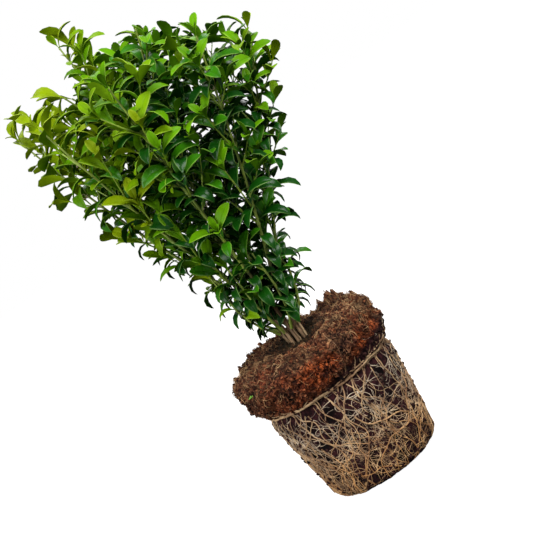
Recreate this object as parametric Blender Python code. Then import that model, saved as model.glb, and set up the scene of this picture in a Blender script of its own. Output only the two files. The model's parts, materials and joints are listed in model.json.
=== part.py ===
"""A small-leaved evergreen euonymus shrub standing on its bare root ball.

Nine rooted stems rise as a tight clump from the peat and fan out. Each carries a mass of foliage
on its tip, four carry a second one on their side, and eight short shoots clothe the foot.
Metres, +Z up, origin at the middle of the root ball's flat underside.
"""

import math
import random

import bmesh
import bpy
import numpy as np
from mathutils import Matrix, Vector, noise
from mathutils.bvhtree import BVHTree

# Root ball: the inside of a two-litre pot, with a wider collar of loose peat above its old rim
BALL_HEIGHT = 0.140
BALL_BASE_RADIUS = 0.057
BALL_EDGE_ROUND = 0.011
RIM_HEIGHT = 0.102
RIM_RADIUS = 0.0685
RIM_ROOT = 0.0018
COLLAR_RADIUS = 0.0775
COLLAR_ROUND = 0.009
PEAT_RISE = 0.010
PEAT_PAD_RADIUS = 0.018
BALL_LUMPS = 0.0022
BALL_STEPS = 35
GROUND = BALL_HEIGHT + PEAT_RISE

# Stems: a bundle of cuttings that leave the peat upright and lean out towards their masses
CLEARANCE = 0.0003
BUNDLE_RADIUS = 0.0082
STEM_FOOT_RADIUS = 0.0021
STEM_TIP_RADIUS = 0.0015
STEM_FLARE = 1.35
STEM_FLARE_HEIGHT = 0.005
STEM_TOP = 0.226
STEM_LEAN_SHARE = 0.20
STEM_SIDES = 6
STEM_POINTS = 6

# Masses of foliage: the tip of each by its azimuth in degrees (0 is +X, 90 is +Y), its reach from
# the axis and its height. The top of the crown slopes down towards +X.
MASS_TIPS = {
    "leader": (176, 0.020, 0.484),
    "left": (182, 0.098, 0.436),
    "left_front": (226, 0.103, 0.430),
    "front": (268, 0.108, 0.422),
    "right_front": (314, 0.116, 0.416),
    "right": (356, 0.126, 0.398),
    "right_back": (42, 0.118, 0.420),
    "back": (88, 0.108, 0.428),
    "left_back": (136, 0.100, 0.436),
    "inner_left_front": (226, 0.058, 0.442),
    "inner_right_front": (312, 0.066, 0.454),
    "inner_right_back": (38, 0.070, 0.452),
    "inner_left_back": (132, 0.058, 0.444),
}
# Each stem with the mass on its tip and the one on its side; the first is in the middle of the bundle
STEM_MASSES = {
    "middle": ("leader", None),
    "left": ("left", None),
    "left_front": ("left_front", "inner_left_front"),
    "front": ("front", None),
    "right_front": ("right_front", "inner_right_front"),
    "right": ("right", None),
    "right_back": ("right_back", "inner_right_back"),
    "back": ("back", None),
    "left_back": ("left_back", "inner_left_back"),
}
SIDE_MASS_FROM = 0.74
LOW_MASSES = 8
LOW_MASS_FROM = 0.12
LOW_MASS_REACH = 0.034
LOW_MASS_HEIGHT = 0.236
LOW_MASS_AZIMUTH = 20

# Shoots and leaves. The masses' leaves are a little over life size, so that fewer fill the crown.
HABITS = {
    "main": {"spacing": 0.0205, "leaf": 0.042, "angle": 54, "twig": 0.085},
    "low": {"spacing": 0.0115, "leaf": 0.030, "angle": 44, "twig": 0},
}
SHOOT_SIDES = 4
SHOOT_RADIUS = 0.0014
TWIG_SIDES = 3
TWIG_RADIUS = 0.0012
TIP_SHARE = 0.55
TWIG_ANGLE = 38
TWIG_SHORTEST = 0.018
TWIG_SPACING = 0.9
TWIG_TRIES = (1.0, 0.8, 0.62, 0.46)
AXIL = 0.003
NODE_SIZE = 0.004
TIP_LEAF_ANGLE = 30
TIP_LEAF_SIZE = 0.82
LEAF_WIDTH = 0.42
LEAF_WIDEST = 0.60
LEAF_DEEPEST = 0.36
LEAF_KEEL = 0.0017
LEAF_SUNK = 0.6
LEAF_ARCH = 0.05
LEAF_DROOP = 0.04
# Share of full size and turn round the shoot, in degrees, that a leaf tries until it fits
LEAF_TRIES = ((1.0, 0), (1.0, 25), (1.0, -25), (0.8, 0), (0.8, 35), (0.8, -35))

# Room between the masses, and the dice: a mass whose union isn't sound is grown from another seed
SPACE_MARGIN = 0.0016
LOW_SPACE = 0.6
NEAREST = 2e-6
FIRST_SEED = 100
SEED_STEP = 100
SEED_TRIES = 12

# The crown's reach: a cone that opens upwards from the foot and leans to +X, under a top that
# slopes down on both sides, more towards +X, with a dip beside the leader, which stands out of it
CONE_FOOT = 0.165
CONE_FOOT_RADIUS = 0.021
CONE_SLOPE = 0.50
CROWN_LEAN = 0.07
CROWN_RADIUS = 0.125
CROWN_TOP = 0.480
CROWN_TILT_LEFT = 0.16
CROWN_TILT_RIGHT = -0.20
CROWN_FALL = 0.020
CROWN_FALL_RADIUS = 0.120
CROWN_FRINGE = 0.006
NOTCH_AT = -0.044
NOTCH_WIDTH = 0.015
NOTCH_DEPTH = 0.034
SPIRE_AT = -0.016
SPIRE_WIDTH = 0.022
SPIRE_TOP = 0.508

COLOURS = {
    "peat": ((0.075, 0.030, 0.018), 0.95),
    "bark": ((0.20, 0.14, 0.06), 0.80),
    "leaf": ((0.07, 0.20, 0.015), 0.38),
    "dark_leaf": ((0.02, 0.09, 0.02), 0.35),
}


def material(name):
    """The named finish as a Principled BSDF."""
    found = bpy.data.materials.get(name)
    if found:
        return found
    colour, roughness = COLOURS[name]
    made = bpy.data.materials.new(name)
    made.use_nodes = True
    shader = made.node_tree.nodes["Principled BSDF"]
    shader.inputs["Base Color"].default_value = (*colour, 1)
    shader.inputs["Roughness"].default_value = roughness
    shader.inputs["Metallic"].default_value = 0
    return made


def add_object(name, bm, finish, collection=None):
    """A mesh object from a bmesh, which is freed."""
    mesh = bpy.data.meshes.new(name)
    bmesh.ops.recalc_face_normals(bm, faces=bm.faces)
    bm.to_mesh(mesh)
    bm.free()
    mesh.materials.append(material(finish))
    made = bpy.data.objects.new(name, mesh)
    (collection or bpy.context.scene.collection).objects.link(made)
    return made


def polar(azimuth, reach, height):
    """A point from its azimuth in degrees, its distance from the axis and its height."""
    turn = math.radians(azimuth)
    return Vector((reach * math.cos(turn), reach * math.sin(turn), height))


# ---- root ball ----


def arc(centre_radius, centre_height, size, first, last, steps):
    """Profile points on an arc, with its angles in degrees from the outward direction."""
    for i in range(steps + 1):
        turn = math.radians(first + (last - first) * i / steps)
        yield centre_radius + size * math.cos(turn), centre_height + size * math.sin(turn)


def ball_profile():
    """Radius and height up the root ball: flat underside, side, girdling root, peat collar, mound."""
    edge = BALL_EDGE_ROUND
    waist = RIM_HEIGHT - 0.45 * (RIM_HEIGHT - edge)
    yield from arc(BALL_BASE_RADIUS - edge, edge, edge, -90, -8, 4)
    yield BALL_BASE_RADIUS + 0.60 * (RIM_RADIUS - BALL_BASE_RADIUS), waist
    yield RIM_RADIUS - 0.002, RIM_HEIGHT - 0.010
    yield RIM_RADIUS - 0.004, RIM_HEIGHT - 2 * RIM_ROOT
    yield from arc(RIM_RADIUS - RIM_ROOT, RIM_HEIGHT, RIM_ROOT, -60, 70, 2)
    yield RIM_RADIUS + 0.001, RIM_HEIGHT + 0.005
    yield COLLAR_RADIUS - 0.002, RIM_HEIGHT + 0.018
    yield from arc(COLLAR_RADIUS - COLLAR_ROUND, BALL_HEIGHT - COLLAR_ROUND, COLLAR_ROUND, 0, 80, 3)
    slope = COLLAR_RADIUS - COLLAR_ROUND - PEAT_PAD_RADIUS
    for share in (0.72, 0.36):
        rise = PEAT_RISE * math.cos(share * math.pi / 2)
        yield PEAT_PAD_RADIUS + slope * share, BALL_HEIGHT + rise
    yield PEAT_PAD_RADIUS, GROUND


def root_ball():
    """The turned root ball, with lumps everywhere but on the flat underside and the stems' pad."""
    bm = bmesh.new()
    profile = [bm.verts.new((radius, 0, height)) for radius, height in ball_profile()]
    edges = [bm.edges.new(pair) for pair in zip(profile, profile[1:])]
    bmesh.ops.spin(bm, geom=profile + edges, axis=(0, 0, 1), angle=math.tau, steps=BALL_STEPS, use_merge=True)
    bmesh.ops.remove_doubles(bm, verts=bm.verts, dist=NEAREST)
    rims = [edge for edge in bm.edges if edge.is_boundary]
    bmesh.ops.contextual_create(bm, geom=[e for e in rims if e.verts[0].co.z < GROUND / 2])
    bmesh.ops.contextual_create(bm, geom=[e for e in rims if e.verts[0].co.z > GROUND / 2])
    for vert in bm.verts:
        radius = vert.co.xy.length
        if vert.co.z < CLEARANCE or radius < PEAT_PAD_RADIUS + CLEARANCE:
            continue
        coarse = noise.noise(vert.co * 40)
        fine = noise.noise(vert.co * 110 + Vector((3, 5, 7)))
        outward = Vector((vert.co.x, vert.co.y, 0)).normalized()
        vert.co += outward * BALL_LUMPS * (coarse + 0.5 * fine)
        if vert.co.z > BALL_HEIGHT - COLLAR_ROUND:
            vert.co.z += BALL_LUMPS * (fine - 0.3)
    ball = add_object("root_ball", bm, "peat")
    ball.data.shade_smooth()
    ball.data.set_sharp_from_angle(angle=math.radians(50))
    return ball


# ---- limbs ----


def bent_path(start, heading, tip, count, hold=0.45):
    """Points from start, leaving it along heading, that curve evenly to the tip."""
    knee = start + heading.normalized() * (tip - start).length * hold
    points = []
    for i in range(count):
        t = i / (count - 1)
        points.append(start * (1 - t) ** 2 + knee * 2 * t * (1 - t) + tip * t * t)
    return points


def tangents(path):
    """The unit direction of a path at each of its points."""
    ahead = [(b - a).normalized() for a, b in zip(path, path[1:])]
    middle = [(a + b).normalized() for a, b in zip(ahead, ahead[1:])]
    return [ahead[0], *middle, ahead[-1]]


def tube(path, radii, sides, level_foot=False):
    """A closed tapering tube along a path; a level foot is cut flat across +Z."""
    bm = bmesh.new()
    directions = tangents(path)
    if level_foot:
        directions[0] = Vector((0, 0, 1))
    across = directions[0].orthogonal().normalized()
    rings = []
    for point, direction, radius in zip(path, directions, radii):
        across = (across - direction * across.dot(direction)).normalized()
        other = direction.cross(across)
        ring = []
        for k in range(sides):
            turn = math.tau * k / sides
            ring.append(bm.verts.new(point + radius * (across * math.cos(turn) + other * math.sin(turn))))
        rings.append(ring)
    for low, high in zip(rings, rings[1:]):
        for k in range(sides):
            bm.faces.new((low[k], low[(k + 1) % sides], high[(k + 1) % sides], high[k]))
    bm.faces.new(reversed(rings[0]))
    bm.faces.new(rings[-1])
    return bm


def tapered(radius, count):
    """Radii that shrink evenly along a shoot."""
    return [radius * (1 - (1 - TIP_SHARE) * i / (count - 1)) for i in range(count)]


def stem_foot(order):
    """Where a stem leaves the peat: the first in the middle of the bundle, the rest round it."""
    if order == 0:
        return Vector((0, 0, GROUND + CLEARANCE))
    name = list(STEM_MASSES)[order]
    azimuth = MASS_TIPS[STEM_MASSES[name][0]][0]
    return polar(azimuth, BUNDLE_RADIUS, GROUND + CLEARANCE)


def stem_path(order):
    """A stem's line, from its flat foot to the tip that its mass takes over from."""
    mass = list(STEM_MASSES.values())[order][0]
    foot = stem_foot(order)
    azimuth, reach, _ = MASS_TIPS[mass]
    top = polar(azimuth, BUNDLE_RADIUS * (order > 0) + STEM_LEAN_SHARE * reach, STEM_TOP)
    return bent_path(foot, Vector((0, 0, 1)), top, STEM_POINTS)


def stem_radius(share):
    """A stem's radius at a share of its length, flared where it enters the peat."""
    flare = max(0.0, 1 - share * (STEM_TOP - GROUND) / STEM_FLARE_HEIGHT)
    return (STEM_FOOT_RADIUS + (STEM_TIP_RADIUS - STEM_FOOT_RADIUS) * share) * (
        1 + (STEM_FLARE - 1) * flare
    )


def add_stem(name, path):
    """One stem as its own solid."""
    shares = [i / (len(path) - 1) for i in range(len(path))]
    bm = tube(path, [stem_radius(s) for s in shares], STEM_SIDES, level_foot=True)
    made = add_object(name, bm, "bark")
    made.data.shade_smooth()
    made.data.set_sharp_from_angle(angle=math.radians(60))
    return made


# ---- leaves and the masses that they make ----


def leaf(where, direction, face, length):
    """A leaf of six faces: a pointed root, two edges at the widest point, a keel and a tip."""
    direction = direction.normalized()
    side = face.cross(direction).normalized()
    up = direction.cross(side)
    half = length * LEAF_WIDTH / 2
    widest = length * LEAF_WIDEST
    points = {
        "root": (0, 0, 0),
        "left": (widest, half, LEAF_ARCH * length),
        "right": (widest, -half, LEAF_ARCH * length),
        "keel": (length * LEAF_DEEPEST, 0, LEAF_ARCH * length * LEAF_DEEPEST - LEAF_KEEL),
        "tip": (length, 0, -LEAF_DROOP * length),
    }
    faces = (
        ("root", "right", "left"),
        ("left", "right", "tip"),
        ("root", "left", "keel"),
        ("right", "root", "keel"),
        ("left", "tip", "keel"),
        ("tip", "right", "keel"),
    )
    bm = bmesh.new()
    verts = {}
    for key, (x, y, z) in points.items():
        verts[key] = bm.verts.new(where + direction * x + side * y + up * z)
    for corners in faces:
        bm.faces.new([verts[c] for c in corners])
    return bm


def leaf_probes(where, direction, face, length):
    """Points over a leaf that tell whether it keeps to its space."""
    side = face.cross(direction).normalized() * length * LEAF_WIDTH / 2
    widest = where + direction * length * LEAF_WIDEST
    return [
        where + direction * length * 0.3,
        widest + side,
        widest - side,
        widest,
        where + direction * length * 0.8,
        where + direction * length,
    ]


class Spaces:
    """The room in the crown: each point belongs to the mass whose line is nearest.

    A low mass counts as nearer than it is, or the great ones would take its room.
    """

    def __init__(self, stems, masses):
        self.names = [*stems, *masses]
        self.is_stem = np.array([True] * len(stems) + [False] * len(masses))
        paths = [*stems.values(), *masses.values()]
        ends = [(a, b) for path in paths for a, b in zip(path, path[1:])]
        self.starts = np.array([a for a, _ in ends])
        self.runs = np.array([b - a for a, b in ends])
        self.squares = (self.runs**2).sum(axis=1)
        counts = [len(path) - 1 for path in paths]
        self.firsts = np.cumsum([0, *counts[:-1]])
        self.scales = np.array([LOW_SPACE if "_low_" in name else 1 for name in self.names])

    def distances(self, point):
        """How far the point is from each line, in the order of the names."""
        away = np.array(point) - self.starts
        share = np.clip((away * self.runs).sum(axis=1) / self.squares, 0, 1)
        gaps = np.linalg.norm(away - share[:, None] * self.runs, axis=1)
        return np.minimum.reduceat(gaps, self.firsts) * self.scales

    def keeps(self, name, points):
        """Whether every point is in the crown, in the mass's own space and clear of the stems."""
        own = self.names.index(name)
        for point in points:
            if not in_crown(point):
                return False
            gaps = self.distances(point)
            if gaps[self.is_stem].min() < STEM_FOOT_RADIUS + 2 * SPACE_MARGIN:
                return False
            limit = gaps[own] + SPACE_MARGIN
            gaps[own] = math.inf
            if gaps[~self.is_stem].min() < limit:
                return False
        return True


def in_crown(point):
    """Whether a point lies inside the crown's reach."""
    above = point.z - CONE_FOOT
    radius = math.hypot(point.x - CROWN_LEAN * above, point.y)
    if radius > min(CONE_FOOT_RADIUS + CONE_SLOPE * above, CROWN_RADIUS) + CROWN_FRINGE:
        return False
    if point.z < GROUND + 2 * SPACE_MARGIN:
        return False
    if math.hypot(point.x - SPIRE_AT, point.y) < SPIRE_WIDTH:
        return point.z < SPIRE_TOP + CROWN_FRINGE
    tilt = CROWN_TILT_RIGHT if point.x > 0 else CROWN_TILT_LEFT
    top = CROWN_TOP + tilt * point.x
    top -= CROWN_FALL * (point.xy.length / CROWN_FALL_RADIUS) ** 6
    top -= NOTCH_DEPTH * math.exp(-(((point.x - NOTCH_AT) / NOTCH_WIDTH) ** 2))
    return point.z < top + CROWN_FRINGE


class Mass:
    """One mass of foliage: a shoot with its twigs and leaves, all in the mass's own space."""

    def __init__(self, name, path, spaces, habit, seed):
        self.name = name
        self.path = path
        self.spaces = spaces
        self.habit = habit
        self.dice = random.Random(seed)
        self.shoot = tube(path, tapered(SHOOT_RADIUS, len(path)), SHOOT_SIDES)
        self.shoot_tree = BVHTree.FromBMesh(self.shoot)
        self.parts = []
        self.grown = []

    def fits(self, shape, root, on_shoot):
        """Whether a shape misses all that has grown, but for what starts at the same node."""
        tree = BVHTree.FromBMesh(shape)
        if not on_shoot and tree.overlap(self.shoot_tree):
            return False
        for other, start in self.grown:
            if (start - root).length > NODE_SIZE and tree.overlap(other):
                return False
        return True

    def keep(self, kind, shape, root):
        self.parts.append((kind, shape))
        self.grown.append((BVHTree.FromBMesh(shape), root.copy()))

    def add_leaf(self, node, side, angle, length):
        """A leaf at a node, turned or made smaller to fit, or left out where none fits."""
        where, along, radius, on_shoot = node
        length *= self.dice.uniform(0.90, 1.08)
        for share, swing in LEAF_TRIES:
            turned = Matrix.Rotation(math.radians(swing), 3, along) @ side
            direction = (along * math.cos(angle) + turned * math.sin(angle)).normalized()
            face = along * math.sin(angle) - turned * math.cos(angle)
            probes = leaf_probes(where, direction, face, length * share)
            if not self.spaces.keeps(self.name, probes):
                continue
            shape = leaf(where - direction * radius * LEAF_SUNK, direction, face, length * share)
            if self.fits(shape, where, on_shoot):
                self.keep("leaf", shape, where)
                return
            shape.free()

    def add_pair(self, node, across, angle, length):
        """Two opposite leaves at a node, their faces turned up the shoot."""
        tilt = math.radians(angle + self.dice.uniform(-8, 8))
        for side in (across, -across):
            self.add_leaf(node, side, tilt, length)

    def add_twig(self, where, direction, longest):
        """A side twig with pairs of leaves, as long as its space allows; none if that is too short."""
        lifted = (direction + Vector((0, 0, 0.5))).normalized()
        for share in TWIG_TRIES:
            length = longest * share
            tip = where + (direction * 0.55 + lifted * 0.45).normalized() * length
            path = bent_path(where, direction, tip, 3)
            probes = [path[1], tip + lifted * 0.01]
            if length < TWIG_SHORTEST or not self.spaces.keeps(self.name, probes):
                continue
            shape = tube(path, tapered(TWIG_RADIUS, 3), TWIG_SIDES)
            if not self.fits(shape, where, True):
                shape.free()
                continue
            before = len(self.parts)
            self.add_leaves(path, AXIL * 2, TWIG_RADIUS, False)
            if len(self.parts) > before:
                self.keep("twig", shape, where)
            return

    def add_leaves(self, path, first, radius, on_shoot):
        """Pairs of leaves up a shoot, each across the one below, with twigs at some of the nodes."""
        length = sum((b - a).length for a, b in zip(path, path[1:]))
        spacing = self.habit["spacing"] * (1 if on_shoot else TWIG_SPACING)
        turn = self.dice.uniform(0, 90)
        directions = tangents(path)
        across = directions[0].orthogonal().normalized()
        nodes = max(1, round((length - first) / spacing))
        for n in range(nodes + 1):
            share = min(1.0, (first + n * (length - first) / nodes) / length)
            spot = share * (len(path) - 1)
            low = min(int(spot), len(path) - 2)
            where = path[low].lerp(path[low + 1], spot - low)
            along = directions[low].lerp(directions[low + 1], spot - low).normalized()
            across = (across - along * across.dot(along)).normalized()
            side = Matrix.Rotation(math.radians(turn + 90 * n), 3, along) @ across
            thickness = radius * (1 - (1 - TIP_SHARE) * share)
            if n == nodes:
                node = (where - along * AXIL / 3, along, thickness, on_shoot)
                self.add_pair(node, side, TIP_LEAF_ANGLE, self.habit["leaf"] * TIP_LEAF_SIZE)
                return
            if on_shoot and self.habit["twig"] and (n % 2 or share > 0.5) and share < 0.9:
                reach = self.habit["twig"] * (1 - share) ** 0.5
                tilt = math.radians(TWIG_ANGLE)
                for way in (side, -side):
                    heading = along * math.cos(tilt) + way * math.sin(tilt)
                    self.add_twig(where, heading, reach * self.dice.uniform(0.8, 1.1))
                where = where - along * AXIL
            node = (where, along, thickness, on_shoot)
            self.add_pair(node, side, self.habit["angle"], self.habit["leaf"])

    def grow(self, finish):
        """Grows the mass and joins it into one solid."""
        self.add_leaves(self.path, self.habit["spacing"] * 0.4, SHOOT_RADIUS, True)
        return fuse(self.name, self.shoot, self.parts, finish)


def largest_shell(mesh):
    """Keeps the mesh's largest connected shell, which drops loose scraps and fills sealed hollows."""
    bm = bmesh.new()
    bm.from_mesh(mesh)
    waiting = set(bm.faces)
    shells = []
    while waiting:
        queue = [waiting.pop()]
        shell = set(queue)
        while queue:
            for edge in queue.pop().edges:
                for face in edge.link_faces:
                    if face in waiting:
                        waiting.discard(face)
                        shell.add(face)
                        queue.append(face)
        shells.append(shell)
    shells.sort(key=len, reverse=True)
    for scrap in shells[1:]:
        bmesh.ops.delete(bm, geom=list(scrap), context="FACES")
    bmesh.ops.triangulate(bm, faces=bm.faces)
    bmesh.ops.remove_doubles(bm, verts=bm.verts, dist=NEAREST)
    bmesh.ops.dissolve_degenerate(bm, dist=NEAREST, edges=bm.edges)
    bm.to_mesh(mesh)
    bm.free()


def is_sound(mesh):
    """Whether the mesh is one closed surface with no edge or face shared twice."""
    bm = bmesh.new()
    bm.from_mesh(mesh)
    closed = all(edge.is_manifold for edge in bm.edges)
    corners = {tuple(sorted(vert.index for vert in face.verts)) for face in bm.faces}
    whole = len(corners) == len(bm.faces)
    round_verts = all(vert.is_manifold for vert in bm.verts)
    bm.free()
    return closed and whole and round_verts


def fuse(name, shoot, parts, finish):
    """One mass: a Boolean union joins its twigs and leaves to its shoot."""
    group = bpy.data.collections.new(name + "_parts")
    bpy.context.scene.collection.children.link(group)
    body = add_object(name, shoot, finish)
    pieces = [add_object(f"{name}_{kind}", bm, finish, group) for kind, bm in parts]
    union = body.modifiers.new("fuse", "BOOLEAN")
    union.operation = "UNION"
    union.operand_type = "COLLECTION"
    union.collection = group
    for solver in ("EXACT", "MANIFOLD"):
        union.solver = solver
        graph = bpy.context.evaluated_depsgraph_get()
        fused = bpy.data.meshes.new_from_object(body.evaluated_get(graph))
        largest_shell(fused)
        if is_sound(fused):
            break
    body.modifiers.clear()
    body.data = fused
    for piece in pieces:
        bpy.data.objects.remove(piece)
    bpy.data.collections.remove(group)
    return body


def mass_lines(stems):
    """The line that each mass's shoot follows, from the limb that bears it to its tip."""
    lines = {}
    for path, (on_tip, on_side) in zip(stems, STEM_MASSES.values()):
        heading = (path[-1] - path[-2]).normalized()
        start = path[-1] + heading * CLEARANCE
        tip = polar(*MASS_TIPS[on_tip])
        lines[on_tip] = bent_path(start, heading, tip, 6)
        if on_side:
            lines[on_side] = side_line(path, SIDE_MASS_FROM, polar(*MASS_TIPS[on_side]), 6)
    for k in range(LOW_MASSES):
        azimuth = LOW_MASS_AZIMUTH + 360 * k / LOW_MASSES
        tip = polar(azimuth, LOW_MASS_REACH, LOW_MASS_HEIGHT)
        bearer = min(stems[1:], key=lambda path: (path[-1] - tip).length)
        lines[f"low_{k + 1}"] = side_line(bearer, LOW_MASS_FROM, tip, 4)
    return lines


def side_line(path, share, tip, count):
    """The line of a shoot that starts just clear of a stem's side and curves up to its tip."""
    spot = share * (len(path) - 1)
    low = int(spot)
    where = path[low].lerp(path[low + 1], spot - low)
    along = (path[low + 1] - path[low]).normalized()
    out = tip - where
    out = (out - along * out.dot(along)).normalized()
    heading = (along * 0.7 + out * 0.7).normalized()
    lean = heading.dot(along)
    start = where + out * (stem_radius(share) + CLEARANCE + SHOOT_RADIUS * lean)
    return bent_path(start, heading, tip, count)


def main():
    for old in list(bpy.data.objects):
        bpy.data.objects.remove(old)
    root_ball()
    paths = [stem_path(order) for order in range(len(STEM_MASSES))]
    stems = {"stem_" + name: path for name, path in zip(STEM_MASSES, paths)}
    for name, path in stems.items():
        add_stem(name, path)
    masses = {"foliage_" + name: path for name, path in mass_lines(paths).items()}
    spaces = Spaces(stems, masses)
    for order, (name, path) in enumerate(masses.items()):
        low = name.startswith("foliage_low_")
        for attempt in range(SEED_TRIES):
            seed = FIRST_SEED + order + SEED_STEP * attempt
            mass = Mass(name, path, spaces, HABITS["low" if low else "main"], seed)
            body = mass.grow("dark_leaf" if low else "leaf")
            if is_sound(body.data):
                break
            bpy.data.objects.remove(body)


main()
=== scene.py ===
import json
import math
import random
from collections import namedtuple
from itertools import product

import bmesh
import bpy
import numpy as np
from mathutils import Matrix, Vector, noise

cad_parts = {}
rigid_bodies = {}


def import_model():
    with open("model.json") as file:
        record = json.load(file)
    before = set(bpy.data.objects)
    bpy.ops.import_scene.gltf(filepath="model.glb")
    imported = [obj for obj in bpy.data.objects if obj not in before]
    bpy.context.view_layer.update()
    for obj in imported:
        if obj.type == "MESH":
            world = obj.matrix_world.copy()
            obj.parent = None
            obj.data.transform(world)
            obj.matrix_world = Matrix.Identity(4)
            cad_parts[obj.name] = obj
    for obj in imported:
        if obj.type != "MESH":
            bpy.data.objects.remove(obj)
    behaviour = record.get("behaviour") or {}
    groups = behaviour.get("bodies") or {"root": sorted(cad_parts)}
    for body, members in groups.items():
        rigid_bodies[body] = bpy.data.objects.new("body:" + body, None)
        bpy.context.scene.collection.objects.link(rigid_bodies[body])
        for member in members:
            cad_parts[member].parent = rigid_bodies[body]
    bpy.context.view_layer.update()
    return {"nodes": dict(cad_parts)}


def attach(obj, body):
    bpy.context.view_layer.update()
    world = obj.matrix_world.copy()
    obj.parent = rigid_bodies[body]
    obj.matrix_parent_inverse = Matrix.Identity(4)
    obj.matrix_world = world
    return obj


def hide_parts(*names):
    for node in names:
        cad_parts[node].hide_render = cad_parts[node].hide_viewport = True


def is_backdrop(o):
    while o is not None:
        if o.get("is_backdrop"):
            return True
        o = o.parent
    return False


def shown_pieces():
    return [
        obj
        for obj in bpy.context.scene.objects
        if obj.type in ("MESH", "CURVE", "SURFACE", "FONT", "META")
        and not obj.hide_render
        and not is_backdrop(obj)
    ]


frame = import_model()
massNodes = sorted(name for name in frame["nodes"] if name.startswith("foliage_"))
stemNodes = sorted(name for name in frame["nodes"] if name.startswith("stem_"))


def linked(name, data):
    made = bpy.data.objects.new(name, data)
    bpy.context.scene.collection.objects.link(made)
    return made


def ease(value, start, run):
    # From 0 at the start to 1 after the run
    return min(1.0, max(0.0, (value - start) / run))


def squared(way, along):
    # The part of a direction that is square to another
    return (way - along * way.dot(along)).normalized()


def meshOf(name, bm, *finishes, smooth=True):
    mesh = bpy.data.meshes.new(name)
    bm.to_mesh(mesh)
    bm.free()
    if smooth:
        mesh.shade_smooth()
    for finish in finishes:
        mesh.materials.append(finish)
    return mesh


def skin(bm, rings):
    # Faces from ring to ring, each ring closed on itself
    for low, high in zip(rings, rings[1:]):
        for k in range(len(low)):
            after = (k + 1) % len(low)
            bm.faces.new((low[k], low[after], high[after], high[k]))


def addNode(tree, kind, sockets=None, **settings):
    # A node with its settings; each socket takes another node's output or a plain value
    made = tree.nodes.new(kind)
    for name, value in settings.items():
        setattr(made, name, value)
    for name, value in (sockets or {}).items():
        socket = made.inputs[name]
        if isinstance(value, bpy.types.NodeSocket):
            tree.links.new(value, socket)
        elif socket.type == "RGBA" and len(value) == 3:
            socket.default_value = (*value, 1)
        else:
            socket.default_value = value
    return made


# camera, floor and light
viewCamera = {
    "elevation": 6.5,
    "roll": 36,  # the plant is held aslant, its top to the left
    "distance": 1.2,
    "target": (0.0153, 0, 0.216),
    "lens": 88.3,
}
studio = {
    "backdrop": 1.0,
    "ambient": 0.21,
    "keyPower": 30,
    "keySize": 1.0,
    "keyFrom": (0.62, -0.75, 0.95),
    "fillPower": 23,
    "fillSize": 1.2,
    "fillFrom": (-1.2, -0.75, 0.50),
    "backPower": 15,
    "backSize": 1.6,
    "backFrom": (0.2, 1.3, 1.0),
    "floorGlow": 0.95,
    "floorColour": 0.30,
    "floorSize": 12,
}


def aimedAt(thing, spot):
    thing.rotation_mode = "QUATERNION"
    thing.rotation_quaternion = (spot - thing.location).to_track_quat("-Z", "Y")


def addCamera():
    data = bpy.data.cameras.new("camera")
    camera = linked("camera", data)
    up = math.radians(viewCamera["elevation"])
    target = Vector(viewCamera["target"])
    back = Vector((0, -math.cos(up), math.sin(up)))
    camera.location = target + back * viewCamera["distance"]
    aimedAt(camera, target)
    roll = Matrix.Rotation(math.radians(-viewCamera["roll"]), 3, "Z").to_quaternion()
    camera.rotation_quaternion = camera.rotation_quaternion @ roll
    data.lens = viewCamera["lens"]
    data.sensor_width = 36
    data.clip_start, data.clip_end = 0.05, 50
    bpy.context.scene.camera = camera


def addLamps():
    target = Vector(viewCamera["target"])
    for name in ("key", "fill", "back"):
        data = bpy.data.lights.new(name + "Light", "AREA")
        data.shape = "DISK"
        data.energy = studio[name + "Power"]
        data.size = studio[name + "Size"]
        lamp = linked(name + "Light", data)
        lamp.location = target + Vector(studio[name + "From"])
        aimedAt(lamp, target)


def addSky():
    # White where the camera looks past the plant, dimmer where it lights the plant
    world = bpy.data.worlds.new("studio")
    world.use_nodes = True
    tree = world.node_tree
    tree.nodes.clear()
    white = (1, 1, 1)
    seen = addNode(tree, "ShaderNodeBackground", {"Strength": studio["backdrop"], "Color": white})
    around = addNode(tree, "ShaderNodeBackground", {"Strength": studio["ambient"], "Color": white})
    path = addNode(tree, "ShaderNodeLightPath")
    sources = {0: path.outputs["Is Camera Ray"], 1: around.outputs[0], 2: seen.outputs[0]}
    mix = addNode(tree, "ShaderNodeMixShader", sources)
    addNode(tree, "ShaderNodeOutputWorld", {"Surface": mix.outputs[0]})
    bpy.context.scene.world = world
    bpy.context.scene.view_settings.view_transform = "Standard"


def addFloor():
    pale = bpy.data.materials.new("paleFloor")
    pale.use_nodes = True
    sockets = pale.node_tree.nodes["Principled BSDF"].inputs
    sockets["Base Color"].default_value = (*(studio["floorColour"],) * 3, 1)
    sockets["Roughness"].default_value = 1
    sockets["Specular IOR Level"].default_value = 0
    sockets["Emission Color"].default_value = (1, 1, 1, 1)
    sockets["Emission Strength"].default_value = studio["floorGlow"]
    bm = bmesh.new()
    bmesh.ops.create_grid(bm, x_segments=2, y_segments=2, size=studio["floorSize"])
    floor = linked("floor", meshOf("floor", bm, pale, smooth=False))
    floor.visible_diffuse = False  # the floor takes the plant's shadow but throws no light up at it
    floor.visible_glossy = False
    floor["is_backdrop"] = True


addCamera()
addSky()
addLamps()
addFloor()
print("studio ready")


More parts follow.
